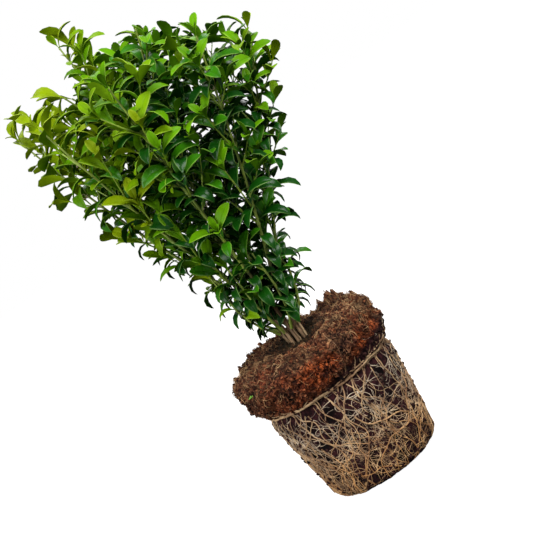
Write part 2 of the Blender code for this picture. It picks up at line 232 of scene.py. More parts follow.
class Finish:
    # A material under construction: a Principled shader with nodes feeding it

    def __init__(self, name, roughness, specular=0.5):
        self.made = bpy.data.materials.new(name)
        self.made.use_nodes = True
        self.tree = self.made.node_tree
        self.sockets = self.tree.nodes["Principled BSDF"].inputs
        self.sockets["Roughness"].default_value = roughness
        self.sockets["Specular IOR Level"].default_value = specular
        self.place = self.add("ShaderNodeTexCoord", {}, "Object")

    def add(self, kind, sockets, output, **settings):
        return addNode(self.tree, kind, sockets, **settings).outputs[output]

    def scaled(self, scale):
        return self.add("ShaderNodeMapping", {"Vector": self.place, "Scale": scale}, "Vector")

    def noise(self, scale, detail=3, stretch=None, rough=0.5):
        place = self.scaled(stretch) if stretch else self.place
        sockets = {"Vector": place, "Scale": scale, "Detail": detail, "Roughness": rough}
        return self.add("ShaderNodeTexNoise", sockets, "Fac")

    def spread(self, source, low, high):
        # From 0 to 1 as the source goes from low to high
        return self.add("ShaderNodeMapRange", {"Value": source, "From Min": low, "From Max": high}, "Result")

    def along(self, axis):
        return self.add("ShaderNodeSeparateXYZ", {0: self.place}, axis)

    def height(self, low, high, band=None):
        # From 0 to 1 between two heights, which may rise towards +X
        value = self.along("Z")
        if band:
            slope, start = band
            far = self.math("MAXIMUM", self.math("ADD", self.along("X"), start), 0.0)
            value = self.math("SUBTRACT", value, self.math("MULTIPLY", far, slope))
        return self.spread(value, low, high)

    def radius(self, low, high):
        # From 0 to 1 between two distances from the plant's axis
        sockets = {0: self.scaled((1, 1, 0))}
        away = self.add("ShaderNodeVectorMath", sockets, "Value", operation="LENGTH")
        return self.spread(away, low, high)

    def math(self, kind, first, second):
        return self.add("ShaderNodeMath", {0: first, 1: second}, 0, operation=kind)

    def ramp(self, source, *stops):
        made = addNode(self.tree, "ShaderNodeValToRGB", {0: source})
        points = made.color_ramp.elements
        for i, (spot, colour) in enumerate(stops):
            point = points[i] if i < 2 else points.new(spot)
            point.position = spot
            point.color = (*colour, 1)
        return made.outputs["Color"]

    def blend(self, factor, first, second, kind="MIX"):
        # Sockets 0, 6 and 7 are the factor and the two colours, and output 2 is the blended colour
        sockets = {0: factor, 6: first, 7: second}
        return self.add("ShaderNodeMix", sockets, 2, data_type="RGBA", blend_type=kind)

    def feed(self, socket, source):
        self.tree.links.new(source, self.sockets[socket])

    def colour(self, source):
        self.feed("Base Color", source)

    def rough(self, source, low, high):
        sockets = {"Value": source, "To Min": low, "To Max": high}
        self.feed("Roughness", self.add("ShaderNodeMapRange", sockets, "Result"))

    def relief(self, source, strength, depth):
        sockets = {"Height": source, "Strength": strength, "Distance": depth}
        self.feed("Normal", self.add("ShaderNodeBump", sockets, "Normal"))


def shaded(colour, factor):
    return tuple(min(1.0, c * factor) for c in colour)


def newTree(name, **inputs):
    # A geometry tree, its given values by name, its end, and the identifier of each input
    tree = bpy.data.node_groups.new(name, "GeometryNodeTree")
    known = {}
    for label, kind in {"Geometry": "Geometry", **inputs}.items():
        socket = tree.interface.new_socket(label, in_out="INPUT", socket_type="NodeSocket" + kind)
        known[label] = socket.identifier
    tree.interface.new_socket("Geometry", in_out="OUTPUT", socket_type="NodeSocketGeometry")
    return tree, addNode(tree, "NodeGroupInput").outputs, addNode(tree, "NodeGroupOutput"), known


def dressed(tree, geometry, finish, **where):
    # The geometry with a finish, on all of it or on a selection
    sockets = {"Geometry": geometry, "Material": finish, **where}
    return addNode(tree, "GeometryNodeSetMaterial", sockets).outputs[0]


def placed(tree, given, points, turn, size, **pick):
    # A shape from the given collection on each point, made real
    sockets = {"Separate Children": True, "Reset Children": True, "Collection": given["Shapes"]}
    shapes = addNode(tree, "GeometryNodeCollectionInfo", sockets).outputs[0]
    sockets = {"Points": points, "Instance": shapes, "Pick Instance": True, **pick}
    put = addNode(tree, "GeometryNodeInstanceOnPoints", {**sockets, "Rotation": turn, "Scale": size})
    return addNode(tree, "GeometryNodeRealizeInstances", {"Geometry": put.outputs[0]}).outputs[0]


def dealt(tree, given, low, high):
    # A random size for each point
    sockets = {2: low, 3: high, "Seed": given["Seed"]}
    return addNode(tree, "FunctionNodeRandomValue", sockets, data_type="FLOAT").outputs[1]


def grown(name, source, tree, known, values):
    # The tree's result as a plain mesh object; the source goes
    modifier = source.modifiers.new("grow", "NODES")
    modifier.node_group = tree
    for label, value in values.items():
        modifier[known[label]] = value
    graph = bpy.context.evaluated_depsgraph_get()
    mesh = bpy.data.meshes.new_from_object(source.evaluated_get(graph), depsgraph=graph)
    mesh.name = name
    bpy.data.objects.remove(source)
    return linked(name, mesh)


def triangles(piece):
    return sum(len(face.vertices) - 2 for face in piece.data.polygons)


def settle(piece, slotName, *nodes):
    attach(piece, "root")
    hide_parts(*nodes)
    print(piece.name, triangles(piece), "triangles")


def tubeTree():
    # Sweeps a round section along every curve, as wide as the thickness times the curve's own radius
    tree, given, end, known = newTree("sweepTubes", Sides="Int", Thickness="Float", Finish="Material")
    sockets = {"Resolution": given["Sides"], "Radius": given["Thickness"]}
    section = addNode(tree, "GeometryNodeCurvePrimitiveCircle", sockets).outputs["Curve"]
    sockets = {"Curve": given["Geometry"], "Profile Curve": section, "Fill Caps": True}
    sockets["Scale"] = addNode(tree, "GeometryNodeInputRadius").outputs[0]
    sweep = addNode(tree, "GeometryNodeCurveToMesh", sockets).outputs["Mesh"]
    whole = addNode(tree, "GeometryNodeRealizeInstances", {"Geometry": sweep}).outputs[0]
    smooth = addNode(tree, "GeometryNodeSetShadeSmooth", {"Geometry": whole}).outputs[0]
    tree.links.new(dressed(tree, smooth, given["Finish"]), end.inputs[0])
    return tree, known


tubeGrower = tubeTree()


def tubes(name, paths, sides, finish):
    # One mesh of round tubes; a path is a list of (point, radius)
    data = bpy.data.curves.new(name + "Lines", "CURVE")
    data.dimensions = "3D"
    for path in paths:
        line = data.splines.new("POLY")
        line.points.add(len(path) - 1)
        line.points.foreach_set("co", [v for point, _ in path for v in (*point, 1)])
        line.points.foreach_set("radius", [radius for _, radius in path])
    tree, known = tubeGrower
    values = {"Sides": sides, "Thickness": 1.0, "Finish": finish}
    return grown(name, linked(name + "Lines", data), tree, known, values)


# the root ball's surface
rootBall = {
    "height": 0.140,
    "baseRadius": 0.057,
    "edgeRound": 0.011,
    "rimHeight": 0.102,
    "rimRadius": 0.0685,
    "rimRoot": 0.0018,
    "collarRadius": 0.0775,
    "collarRound": 0.009,
    "rise": 0.010,
    "padRadius": 0.018,
    "around": 420,
    "up": (34, 128),  # rings below the old rim and above it
    "clods": (0.0046, 62),  # how high, how often
    "crumbs": (0.0026, 240),
    "grains": (0.00117, 520),
    "heave": 0.0034,
    "spikes": 0.0085,
    "horn": (38, 11, 0.009),  # a lump that stands on the rim: azimuth and half width in degrees, height
    "worn": 0.0055,  # how much the collar has lost towards +X
    "hollow": (0.002, -0.020, 0.034, 0.0085),  # round the stems: middle along X and Y, half width, depth
    # where the peat turns loose, its edge, its crest and the sunk part begin, and over what run
    "loosens": 0.006,
    "edge": (0.040, 0.022),
    "crest": (0.118, 0.016),
    "sunk": (0.126, 0.014),
    "band": (0.20, 0.015),  # rise of the bare band under the collar per metre towards +X, and where it starts
}
ground = rootBall["height"] + rootBall["rise"]


def polar(azimuth, reach, height):
    turn = math.radians(azimuth)
    return Vector((reach * math.cos(turn), reach * math.sin(turn), height))


def arc(centreRadius, centreHeight, size, first, last, steps):
    for i in range(steps + 1):
        turn = math.radians(first + (last - first) * i / steps)
        yield centreRadius + size * math.cos(turn), centreHeight + size * math.sin(turn)


def ballProfile():
    # Radius and height from the middle of the underside to the middle of the top
    b = rootBall
    edge = b["edgeRound"]
    yield 0.0, 0.0
    yield from arc(b["baseRadius"] - edge, edge, edge, -90, -8, 6)
    belly = b["baseRadius"] + 0.60 * (b["rimRadius"] - b["baseRadius"])
    yield belly, b["rimHeight"] - 0.45 * (b["rimHeight"] - edge)
    yield b["rimRadius"] - 0.002, b["rimHeight"] - 0.010
    yield b["rimRadius"] - 0.0042, b["rimHeight"] - 2.2 * b["rimRoot"]
    yield b["rimRadius"] - 0.0025, b["rimHeight"]
    yield b["rimRadius"] + 0.001, b["rimHeight"] + 0.004
    yield b["collarRadius"] - 0.002, b["rimHeight"] + 0.018
    bend = b["collarRound"]
    yield from arc(b["collarRadius"] - bend, b["height"] - bend, bend, 0, 80, 5)
    slope = b["collarRadius"] - bend - b["padRadius"]
    for share in (0.8, 0.6, 0.4, 0.2, 0.0):
        yield b["padRadius"] + slope * share, b["height"] + b["rise"] * math.cos(share * math.pi / 2)
    yield 0.0, ground


profile = np.array(list(ballProfile()))
profileRuns = np.concatenate([[0], np.cumsum(np.hypot(*np.diff(profile, axis=0).T))])
profileLength = profileRuns[-1]


def runAt(height):
    # Distance up the profile to where its side passes a height
    for i in range(len(profile) - 1):
        low, high = profile[i][1], profile[i + 1][1]
        if low <= height < high and profile[i][0] > 0.02:
            return profileRuns[i] + (profileRuns[i + 1] - profileRuns[i]) * (height - low) / (high - low)
    return profileLength


def radiusAt(run):
    return float(np.interp(run, profileRuns, profile[:, 0]))


def heightAt(run):
    return float(np.interp(run, profileRuns, profile[:, 1]))


rimRun = runAt(rootBall["rimHeight"])
collarRun = runAt(rootBall["rimHeight"] + 0.004)


def bandAt(azimuth):
    # How far above the old rim the loose peat begins
    slope, start = rootBall["band"]
    return slope * max(0.0, rootBall["rimRadius"] * math.cos(azimuth) + start)


def lumps(kind, where, shift=(0, 0, 0)):
    # Unevenness of one size at a point
    high, often = rootBall[kind]
    return noise.noise(where * often + Vector(shift)) * high


def peatSpot(azimuth, run, lift=0.0):
    # A point on the rough peat: azimuth in radians, distance up the profile, and how far it stands off
    b = rootBall
    radius, height = radiusAt(run), heightAt(run)
    before, after = max(0.0, run - 0.002), min(profileLength, run + 0.002)
    dr, dz = radiusAt(after) - radiusAt(before), heightAt(after) - heightAt(before)
    size = math.hypot(dr, dz) or 1.0
    out, up = dz / size, -dr / size
    east, north = math.cos(azimuth), math.sin(azimuth)
    co = Vector((radius * east, radius * north, height))

    # loose peat above the old rim, calmer in the middle of the top and of the underside
    loose = ease(run - collarRun, bandAt(azimuth), b["loosens"])
    pad = ease(profileLength, run, 0.03)
    clods = lumps("clods", co) * (0.24 + 0.76 * loose * (0.4 + 0.6 * pad))
    bits = lumps("crumbs", co, (7, 1, 4)) * (0.25 + 0.75 * loose)
    grains = lumps("grains", co) * (0.3 + 0.7 * loose)
    off = (clods + bits + grains) * min(1.0, run / 0.05) ** 2 + lift

    # a torn crest, a horn on it, a hollow round the stems, and a side worn away
    edge = loose * ease(radius, *b["edge"])
    crest = edge * ease(height, *b["crest"])
    swell = 1 + 1.6 * noise.noise(Vector((east, north, 3)) * 2.3)
    co.z += crest * b["heave"] * (0.2 + 0.8 * max(0.0, north)) * swell
    where, width, high = b["horn"]
    apart = (math.degrees(azimuth) - where + 180) % 360 - 180
    co.z += crest * high * math.exp(-((apart / width) ** 2)) * (1 + 0.5 * noise.noise(co * 160))
    co.z += crest * b["spikes"] * max(0.0, noise.noise(co * 150) + 0.5 * noise.noise(co * 380) - 0.12)
    x, y, wide, deep = b["hollow"]
    sunk = ease(height, *b["sunk"])
    co.z -= sunk * deep * math.exp(-(((co.x - x) ** 2 + (co.y - y) ** 2) / wide**2))
    moved = out * off - b["worn"] * edge * max(0.0, east) ** 2
    co.x += east * moved
    co.y += north * moved
    co.z = max(0.0003 if run > 0.03 else 0.0, co.z + up * off)
    return co


def rootBallMesh():
    bm = bmesh.new()
    below, above = rootBall["up"]
    finer = rimRun - 0.02
    runs = [*np.linspace(0, finer, below, endpoint=False), *np.linspace(finer, profileLength, above + 1)]
    turns = [math.tau * k / rootBall["around"] for k in range(rootBall["around"])]
    rings = [[bm.verts.new(peatSpot(turn, run)) for turn in turns] for run in runs[1:-1]]
    foot = bm.verts.new(peatSpot(0, 0))
    crest = bm.verts.new(peatSpot(0, profileLength))
    skin(bm, rings)
    for k in range(len(turns)):
        after = (k + 1) % len(turns)
        bm.faces.new((foot, rings[0][after], rings[0][k]))
        bm.faces.new((crest, rings[-1][k], rings[-1][after]))
    bmesh.ops.recalc_face_normals(bm, faces=bm.faces)
    return linked("peat", meshOf("peat", bm, peatFinish()))


def redZone(f):
    # Patches of red peat, most of them on the front under the rim
    patches = f.spread(f.noise(26, 2), 0.38, 0.51)
    near, east = f.spread(f.along("Y"), 0.030, -0.040), f.spread(f.along("X"), -0.062, -0.025)
    front = f.math("MULTIPLY", near, east)
    rest = f.math("MULTIPLY", f.height(0.148, 0.130), front)
    return f.math("MULTIPLY", patches, f.math("ADD", f.math("MULTIPLY", rest, 0.85), 0.15))


def mossy(f, tone):
    # Dark moss round the stems
    return f.blend(f.math("MULTIPLY", f.radius(0.036, 0.015), 0.8), tone, (0.013, 0.013, 0.006))


def peatFinish():
    f = Finish("peatFinish", 0.95, 0.12)
    spots = f.noise(330, 4, rough=0.7)
    brown = f.ramp(
        spots, (0.34, (0.006, 0.002, 0.002)), (0.64, (0.17, 0.055, 0.024)), (0.50, (0.060, 0.017, 0.009))
    )
    red = f.ramp(
        spots, (0.34, (0.010, 0.003, 0.003)), (0.62, (0.32, 0.070, 0.020)), (0.48, (0.11, 0.022, 0.009))
    )
    tan = f.ramp(
        spots, (0.34, (0.014, 0.008, 0.005)), (0.64, (0.34, 0.20, 0.095)), (0.49, (0.11, 0.055, 0.028))
    )
    tans = f.math("MULTIPLY", f.spread(f.noise(31, 2), 0.46, 0.60), f.height(0.126, 0.140))
    upper = mossy(f, f.blend(tans, f.blend(redZone(f), brown, red), tan))
    # below the old rim the peat is near black: partly its own dark colour, partly painted shade between the
    # roots of the net
    darkPeatWithPaintedShade = f.ramp(spots, (0.34, (0.003, 0.001, 0.002)), (0.66, (0.038, 0.010, 0.012)))
    zone = f.height(rootBall["rimHeight"] - 0.001, rootBall["rimHeight"] + 0.004, rootBall["band"])
    shade = f.ramp(f.noise(84, 4), (0.38, (0.10, 0.08, 0.09)), (0.57, (1.35, 1.28, 1.22)))
    f.colour(f.blend(1.0, f.blend(zone, darkPeatWithPaintedShade, upper), shade, "MULTIPLY"))
    f.relief(f.noise(900, 3), 0.9, 0.0014)
    return f.made


ball = rootBallMesh()
settle(ball, "peat", "root_ball")
print("root ball ready")


# roots, fibres and crumbs on the ball
net = {
    "seed": 12,
    "mains": 112,
    "mainRadius": 0.00047,
    "branchRadius": 0.00036,
    "hairRadius": 0.00021,
    "step": 0.0024,
    "wander": 0.55,
    "lowest": 0.053,  # distance up the profile where the net ends
    "branches": 1300,
    "hairs": 420,
    "mainSteps": (36, 62),
    "branchSteps": (6, 20),
    "hairSteps": (4, 10),
    "mainWander": 0.30,
    "hairWander": 0.9,
}


def walkRoot(dice, azimuth, run, heading, steps, radius, steady, aim=0.0, wander=net["wander"]):
    # A root that creeps over the peat: heading 0 is straight down, and it keeps turning back to its aim
    path, spots = [], []
    sway = 0.0
    for n in range(steps):
        share = n / max(1, steps - 1)
        thick = radius * (1 - 0.55 * share) * dice.uniform(0.85, 1.15)
        path.append((peatSpot(azimuth, run, thick * 0.45 + radius * 0.3), thick))
        spots.append((azimuth, run, heading, thick))
        sway = sway * 0.6 + dice.gauss(0, 1) * 0.4
        heading += sway * wander + (aim - heading) * steady
        azimuth += math.sin(heading) * net["step"] / max(radiusAt(run), 0.01)
        run -= math.cos(heading) * net["step"]
        if not net["lowest"] <= run <= profileLength:
            break
    return path, spots


def growNet():
    dice = random.Random(net["seed"])
    mains, branches, hairs, sources = [], [], [], []
    for n in range(net["mains"]):
        azimuth = math.tau * (n + dice.uniform(-0.4, 0.4)) / net["mains"]
        radius = net["mainRadius"] * dice.uniform(0.6, 1.5)
        lean = dice.gauss(0, 0.30)
        if n % 4:
            start = rimRun + bandAt(azimuth) - dice.uniform(0.0, 0.010)
        else:
            start = rimRun - dice.uniform(0.015, 0.045)
        steps, wander = dice.randint(*net["mainSteps"]), net["mainWander"]
        path, spots = walkRoot(dice, azimuth, start, lean, steps, radius, 0.10, lean * 0.6, wander)
        mains.append(path)
        sources += [(spot, 0) for spot in spots]
    while len(branches) < net["branches"]:
        (azimuth, run, heading, thick), depth = dice.choice(sources)
        deep = 1 - run / rimRun
        if dice.random() > 0.80 + 0.5 * deep:
            continue
        side = dice.choice((-1, 1))
        turned = heading + side * dice.uniform(0.35, 1.15)
        radius = min(thick, net["branchRadius"]) * dice.uniform(0.6, 1.2)
        steps = dice.randint(*net["branchSteps"])
        path, spots = walkRoot(dice, azimuth, run, turned, steps, radius, 0.06, side * dice.uniform(0, 0.6))
        if len(path) < 3:
            continue
        branches.append(path)
        if depth < 3:
            sources += [(spot, depth + 1) for spot in spots[2:]]
    while len(hairs) < net["hairs"]:
        (azimuth, run, heading, thick), depth = dice.choice(sources)
        radius = net["hairRadius"] * dice.uniform(0.7, 1.3)
        turned = heading + dice.choice((-1, 1)) * dice.uniform(0.5, 1.5)
        steps, wander = dice.randint(*net["hairSteps"]), net["hairWander"]
        path, _ = walkRoot(dice, azimuth, run, turned, steps, radius, 0.02, turned, wander)
        if len(path) > 2:
            hairs.append(path)
    return mains, branches, hairs


def rootFinish(name, pale, deep):
    # Grey cream above, more orange towards the foot
    f = Finish(name, 0.62, 0.3)
    tone = f.ramp(f.noise(70, 3), (0.34, deep), (0.62, pale))
    warm = f.blend(f.height(0.072, 0.020), (1.0, 1.0, 1.0), (1.10, 0.86, 0.58))
    tone = f.blend(1.0, tone, warm, "MULTIPLY")
    dirt = f.ramp(f.noise(420, 3), (0.32, (0.36, 0.28, 0.25)), (0.50, (1, 1, 1)))
    f.colour(f.blend(0.8, tone, dirt, "MULTIPLY"))
    f.relief(f.noise(1500, 2), 0.4, 0.0003)
    return f.made


def addRoots(name, paths, sides, finish):
    settle(tubes(name, paths, sides, finish), "bark", "root_ball")


thickRootFinish = rootFinish("thickRootFinish", (0.58, 0.395, 0.215), (0.28, 0.155, 0.078))
netRootFinish = rootFinish("netRootFinish", (0.74, 0.605, 0.44), (0.26, 0.18, 0.12))
hairRootFinish = rootFinish("hairRootFinish", (0.48, 0.40, 0.30), (0.22, 0.17, 0.14))

mainRoots, branchRoots, hairRoots = growNet()
addRoots("mainRoots", mainRoots, 6, thickRootFinish)
addRoots("netRoots", branchRoots, 4, netRootFinish)
addRoots("hairRoots", hairRoots, 3, hairRootFinish)


girdle = {
    "seed": 5,
    "steps": 220,
    "radius": 0.00100,
    "strands": ((1.0, 0), (0.62, 1.0), (0.45, -0.7)),  # how thick, and on which side of the first
    "offset": 0.0016,
    "wave": 0.0011,
    "feeders": 26,
    "feederSteps": (8, 26),
    "feederWander": 0.35,
}


def girdlingRoots():
    # The roots that ran round the old pot's rim, and what leaves them
    dice = random.Random(girdle["seed"])
    paths = []
    wave = girdle["wave"]
    for strand, (size, aside) in enumerate(girdle["strands"]):
        thick = girdle["radius"] * size
        path = []
        for n in range(girdle["steps"] + 1):
            azimuth = math.tau * n / girdle["steps"]
            spot = Vector((math.cos(azimuth), math.sin(azimuth), strand * 3.1))
            sway = noise.noise(spot * 2.2) * wave * 2.2 + noise.noise(spot * 9) * wave * 0.5
            apart = girdle["offset"] * aside * (1 + 1.8 * max(0.0, math.cos(azimuth)))
            run = rimRun + sway + apart * (1 + noise.noise(spot * 1.5))
            width = thick * (1 + 0.35 * noise.noise(spot * 5))
            path.append((peatSpot(azimuth, run, thick * 0.8), width))
        path[-1] = path[0]
        paths.append(path)
    for n in range(girdle["feeders"]):
        azimuth = dice.uniform(0, math.tau)
        radius = girdle["radius"] * dice.uniform(0.3, 0.6)
        side = dice.choice((-1, 1))
        turned = side * dice.uniform(1.2, 2.2)
        steps, wander = dice.randint(*girdle["feederSteps"]), girdle["feederWander"]
        path, _ = walkRoot(dice, azimuth, rimRun, turned, steps, radius, 0.04, turned * 1.1, wander)
        if len(path) > 2:
            paths.append(path)
    return paths


addRoots("girdlingRoots", girdlingRoots(), 8, thickRootFinish)
print("roots ready")

fibres = {
    "seed": 23,
    # how many, radius, lift in the middle, fewest and most steps, length of a step
    "tan": (1900, 0.00023, 0.0012, (4, 8), 0.0022),
    "red": (2600, 0.00040, 0.0010, (3, 4), 0.0014),
    "dark": (1700, 0.00042, 0.0010, (3, 4), 0.0014),
}


def fibreZone(azimuth, run):
    # How tan and how dark the litter is at a spot: tan in patches of the top, dark round the stems
    radius = radiusAt(run)
    x, y = radius * math.cos(azimuth), radius * math.sin(azimuth)
    top = ease(run - collarRun, 0.022, 0.012)
    near = noise.noise(Vector((x, y, 0)) * 38)
    tan = top * max(0.0, min(1.0, 0.55 + 0.35 * abs(x) / 0.07 - max(0.0, -y - 0.045) / 0.03 + 1.3 * near))
    dark = top * max(0.0, min(1.0, 1.5 - radius / 0.026 + near)) + 0.55 * max(0.0, -near - 0.05)
    return tan * (1 - dark), min(1.0, dark)


def growFibres():
    dice = random.Random(fibres["seed"])
    wanted = {kind: fibres[kind][0] for kind in ("tan", "red", "dark")}
    grownPaths = {kind: [] for kind in wanted}
    while any(len(grownPaths[kind]) < wanted[kind] for kind in wanted):
        azimuth = dice.uniform(0, math.tau)
        run = dice.uniform(collarRun + bandAt(azimuth), profileLength - 0.004)
        if dice.random() > radiusAt(run) / rootBall["collarRadius"]:
            continue
        tan, dark = fibreZone(azimuth, run)
        kind = "dark" if dice.random() < dark + 0.15 else "tan" if dice.random() < tan + 0.06 else "red"
        if len(grownPaths[kind]) >= wanted[kind]:
            continue
        _, thick, high, few, step = fibres[kind]
        heading = dice.uniform(0, math.tau)
        turn = dice.gauss(0, 0.14)
        radius = thick * dice.uniform(0.6, 1.5)
        lift = high * dice.uniform(0.2, 2.2)
        tilt = dice.uniform(-1, 1) * high
        steps = dice.randint(*few)
        path = []
        for n in range(steps):
            share = n / (steps - 1)
            bow = max(0.0, math.sin(math.pi * share) * lift + tilt * (share - 0.5))
            path.append((peatSpot(azimuth, run, bow + 0.0002), radius * (1 - 0.6 * abs(2 * share - 1))))
            azimuth += math.sin(heading) * step / max(radiusAt(run), 0.006)
            run = min(profileLength - 0.001, run - math.cos(heading) * step)
            heading += turn + dice.gauss(0, 0.16)
            if run < rimRun - 0.002:
                break
        if len(path) > 2:
            grownPaths[kind].append(path)
    return grownPaths


def fibreFinish(name, pale, deep, redPale, redDeep):
    f = Finish(name, 0.85, 0.12)
    spots = f.noise(210, 3)
    tone = f.ramp(spots, (0.36, deep), (0.62, pale))
    red = f.ramp(spots, (0.36, redDeep), (0.62, redPale))
    tone = mossy(f, f.blend(redZone(f), tone, red))
    shade = f.ramp(f.noise(74, 3), (0.38, (0.26, 0.23, 0.24)), (0.58, (1.25, 1.2, 1.15)))
    f.colour(f.blend(1.0, tone, shade, "MULTIPLY"))
    return f.made


fibrePaths = growFibres()
fibreTones = {
    "tan": ((0.46, 0.30, 0.15), (0.15, 0.08, 0.04), (0.42, 0.20, 0.085), (0.14, 0.05, 0.024)),
    "red": ((0.21, 0.105, 0.055), (0.045, 0.019, 0.012), (0.50, 0.115, 0.028), (0.11, 0.022, 0.009)),
    "dark": ((0.055, 0.032, 0.020), (0.008, 0.005, 0.004), (0.100, 0.028, 0.014), (0.014, 0.006, 0.005)),
}
for kind, tones in fibreTones.items():
    piece = tubes(kind + "Fibres", fibrePaths[kind], 3, fibreFinish(kind + "FibreFinish", *tones))
    settle(piece, "peat", "root_ball")
print("fibres ready")

crumbs = {
    "seed": 3,
    "kinds": 4,
    "smallest": 0.0005,
    "largest": 0.0019,
    "topDensity": 95000,
    "sideDensity": 16000,
    "lowest": 0.004,
}


def crumbTree():
    # Scatters crumbs over the peat, more of them above the old rim than below it
    floats = ("Density above the rim", "Density below the rim", "Rim height", "Smallest", "Largest")
    inputs = {"Shapes": "Collection", **dict.fromkeys(floats, "Float"), "Seed": "Int", "Finish": "Material"}
    tree, given, end, known = newTree("scatterCrumbs", **inputs)
    place = addNode(tree, "GeometryNodeInputPosition").outputs[0]
    height = addNode(tree, "ShaderNodeSeparateXYZ", {0: place}).outputs["Z"]

    def higher(limit):
        settings = {"data_type": "FLOAT", "operation": "GREATER_THAN"}
        return addNode(tree, "FunctionNodeCompare", {0: height, 1: limit}, **settings).outputs[0]

    below, above = given["Density below the rim"], given["Density above the rim"]
    sockets = {0: higher(given["Rim height"]), 1: below, 2: above}
    density = addNode(tree, "GeometryNodeSwitch", sockets, input_type="FLOAT").outputs[0]
    sockets = {"Selection": higher(crumbs["lowest"]), "Density": density, "Seed": given["Seed"]}
    points = addNode(tree, "GeometryNodeDistributePointsOnFaces", {"Mesh": given["Geometry"], **sockets})
    sockets = {1: (math.tau,) * 3, "Seed": given["Seed"]}
    turn = addNode(tree, "FunctionNodeRandomValue", sockets, data_type="FLOAT_VECTOR").outputs[0]
    size = dealt(tree, given, given["Smallest"], given["Largest"])
    whole = placed(tree, given, points.outputs["Points"], turn, size)
    tree.links.new(dressed(tree, whole, given["Finish"]), end.inputs[0])
    return tree, known


def shapeGroup(name, shapes):
    group = bpy.data.collections.new(name)
    bpy.context.scene.collection.children.link(group)
    for mesh in shapes:
        group.objects.link(bpy.data.objects.new(mesh.name, mesh))
    return group


def crumbMesh(k):
    bm = bmesh.new()
    bmesh.ops.create_icosphere(bm, subdivisions=1, radius=1)
    for vert in bm.verts:
        vert.co *= 1 + 0.75 * noise.noise(vert.co * 1.1 + Vector((k * 3.7, 1, 2)))
        vert.co.x *= 1 + 0.5 * (k % 2)
    return meshOf(f"crumb{k}", bm, smooth=False)


def dropGroup(group):
    for thing in list(group.objects):
        bpy.data.objects.remove(thing)
    bpy.data.collections.remove(group)


def crumbFinish():
    f = Finish("crumbFinish", 0.95, 0.1)
    spots = f.noise(240, 3)
    brown = f.ramp(
        spots, (0.36, (0.010, 0.005, 0.004)), (0.64, (0.17, 0.075, 0.038)), (0.5, (0.045, 0.017, 0.010))
    )
    red = f.ramp(
        spots, (0.36, (0.020, 0.006, 0.004)), (0.64, (0.36, 0.090, 0.028)), (0.5, (0.11, 0.026, 0.010))
    )
    upper = mossy(f, f.blend(redZone(f), brown, red))
    # below the old rim the crumbs are near black: partly the dark peat's own colour, partly painted shade
    # between the roots
    darkPeatWithPaintedShade = f.ramp(spots, (0.34, (0.005, 0.003, 0.003)), (0.66, (0.050, 0.020, 0.017)))
    zone = f.height(rootBall["rimHeight"] - 0.001, rootBall["rimHeight"] + 0.003, rootBall["band"])
    f.colour(f.blend(zone, darkPeatWithPaintedShade, upper))
    f.relief(f.noise(2000, 2), 0.5, 0.0003)
    return f.made


def addCrumbs():
    tree, known = crumbTree()
    group = shapeGroup("crumbKinds", [crumbMesh(k) for k in range(crumbs["kinds"])])
    source = linked("crumbBed", ball.data.copy())
    values = {
        "Shapes": group,
        "Density above the rim": crumbs["topDensity"],
        "Density below the rim": crumbs["sideDensity"],
        "Rim height": rootBall["rimHeight"],
        "Smallest": crumbs["smallest"],
        "Largest": crumbs["largest"],
        "Seed": crumbs["seed"],
        "Finish": crumbFinish(),
    }
    piece = grown("crumbs", source, tree, known, values)
    dropGroup(group)
    settle(piece, "peat", "root_ball")


addCrumbs()
print("crumbs ready")


# the limbs' lines, by the same rule as the solids
clearance = 0.0003
bundle = {
    "radius": 0.0082,
    "footRadius": 0.0021,
    "tipRadius": 0.0015,
    "flare": 1.35,
    "top": 0.226,
    "lean": 0.20,
    "points": 6,
}
massTips = {
    "leader": (176, 0.020, 0.484),
    "left": (182, 0.098, 0.436),
    "left_front": (226, 0.103, 0.430),
    "front": (268, 0.108, 0.422),
    "right_front": (314, 0.116, 0.416),
    "right": (356, 0.126, 0.398),
    "right_back": (42, 0.118, 0.420),
    "back": (88, 0.108, 0.428),
    "left_back": (136, 0.100, 0.436),
    "inner_left_front": (226, 0.058, 0.442),
    "inner_right_front": (312, 0.066, 0.454),
    "inner_right_back": (38, 0.070, 0.452),
    "inner_left_back": (132, 0.058, 0.444),
}
stemMasses = {
    "middle": ("leader", None),
    "left": ("left", None),
    "left_front": ("left_front", "inner_left_front"),
    "front": ("front", None),
    "right_front": ("right_front", "inner_right_front"),
    "right": ("right", None),
    "right_back": ("right_back", "inner_right_back"),
    "back": ("back", None),
    "left_back": ("left_back", "inner_left_back"),
}
lowMasses = {"count": 8, "from": 0.12, "reach": 0.034, "height": 0.236, "azimuth": 20}
sideMassFrom = 0.74
shootRadius = 0.0014
kneeShare = 0.45  # how far along a bent line its first heading holds


def bentPath(start, heading, tip, count):
    knee = start + heading.normalized() * (tip - start).length * kneeShare
    shares = [i / (count - 1) for i in range(count)]
    return [start * (1 - t) ** 2 + knee * 2 * t * (1 - t) + tip * t * t for t in shares]


def pathLength(path):
    return sum((b - a).length for a, b in zip(path, path[1:]))


def pathSpot(path, share):
    # Point and direction at a share of the path's length
    spot = min(max(share, 0), 1) * (len(path) - 1)
    low = min(int(spot), len(path) - 2)
    ahead = (path[low + 1] - path[low]).normalized()
    if low + 2 < len(path):
        ahead = ahead.lerp((path[low + 2] - path[low + 1]).normalized(), (spot - low) * 0.5)
    return path[low].lerp(path[low + 1], spot - low), ahead.normalized()


def stemLine(order):
    mass = list(stemMasses.values())[order][0]
    azimuth, reach, _ = massTips[mass]
    foot = polar(azimuth, bundle["radius"] * (order > 0), ground + clearance)
    top = polar(azimuth, bundle["radius"] * (order > 0) + bundle["lean"] * reach, bundle["top"])
    return bentPath(foot, Vector((0, 0, 1)), top, bundle["points"])


def stemRadius(share):
    flare = max(0.0, 1 - share * (bundle["top"] - ground) / 0.005)
    taper = bundle["footRadius"] + (bundle["tipRadius"] - bundle["footRadius"]) * share
    return taper * (1 + (bundle["flare"] - 1) * flare)


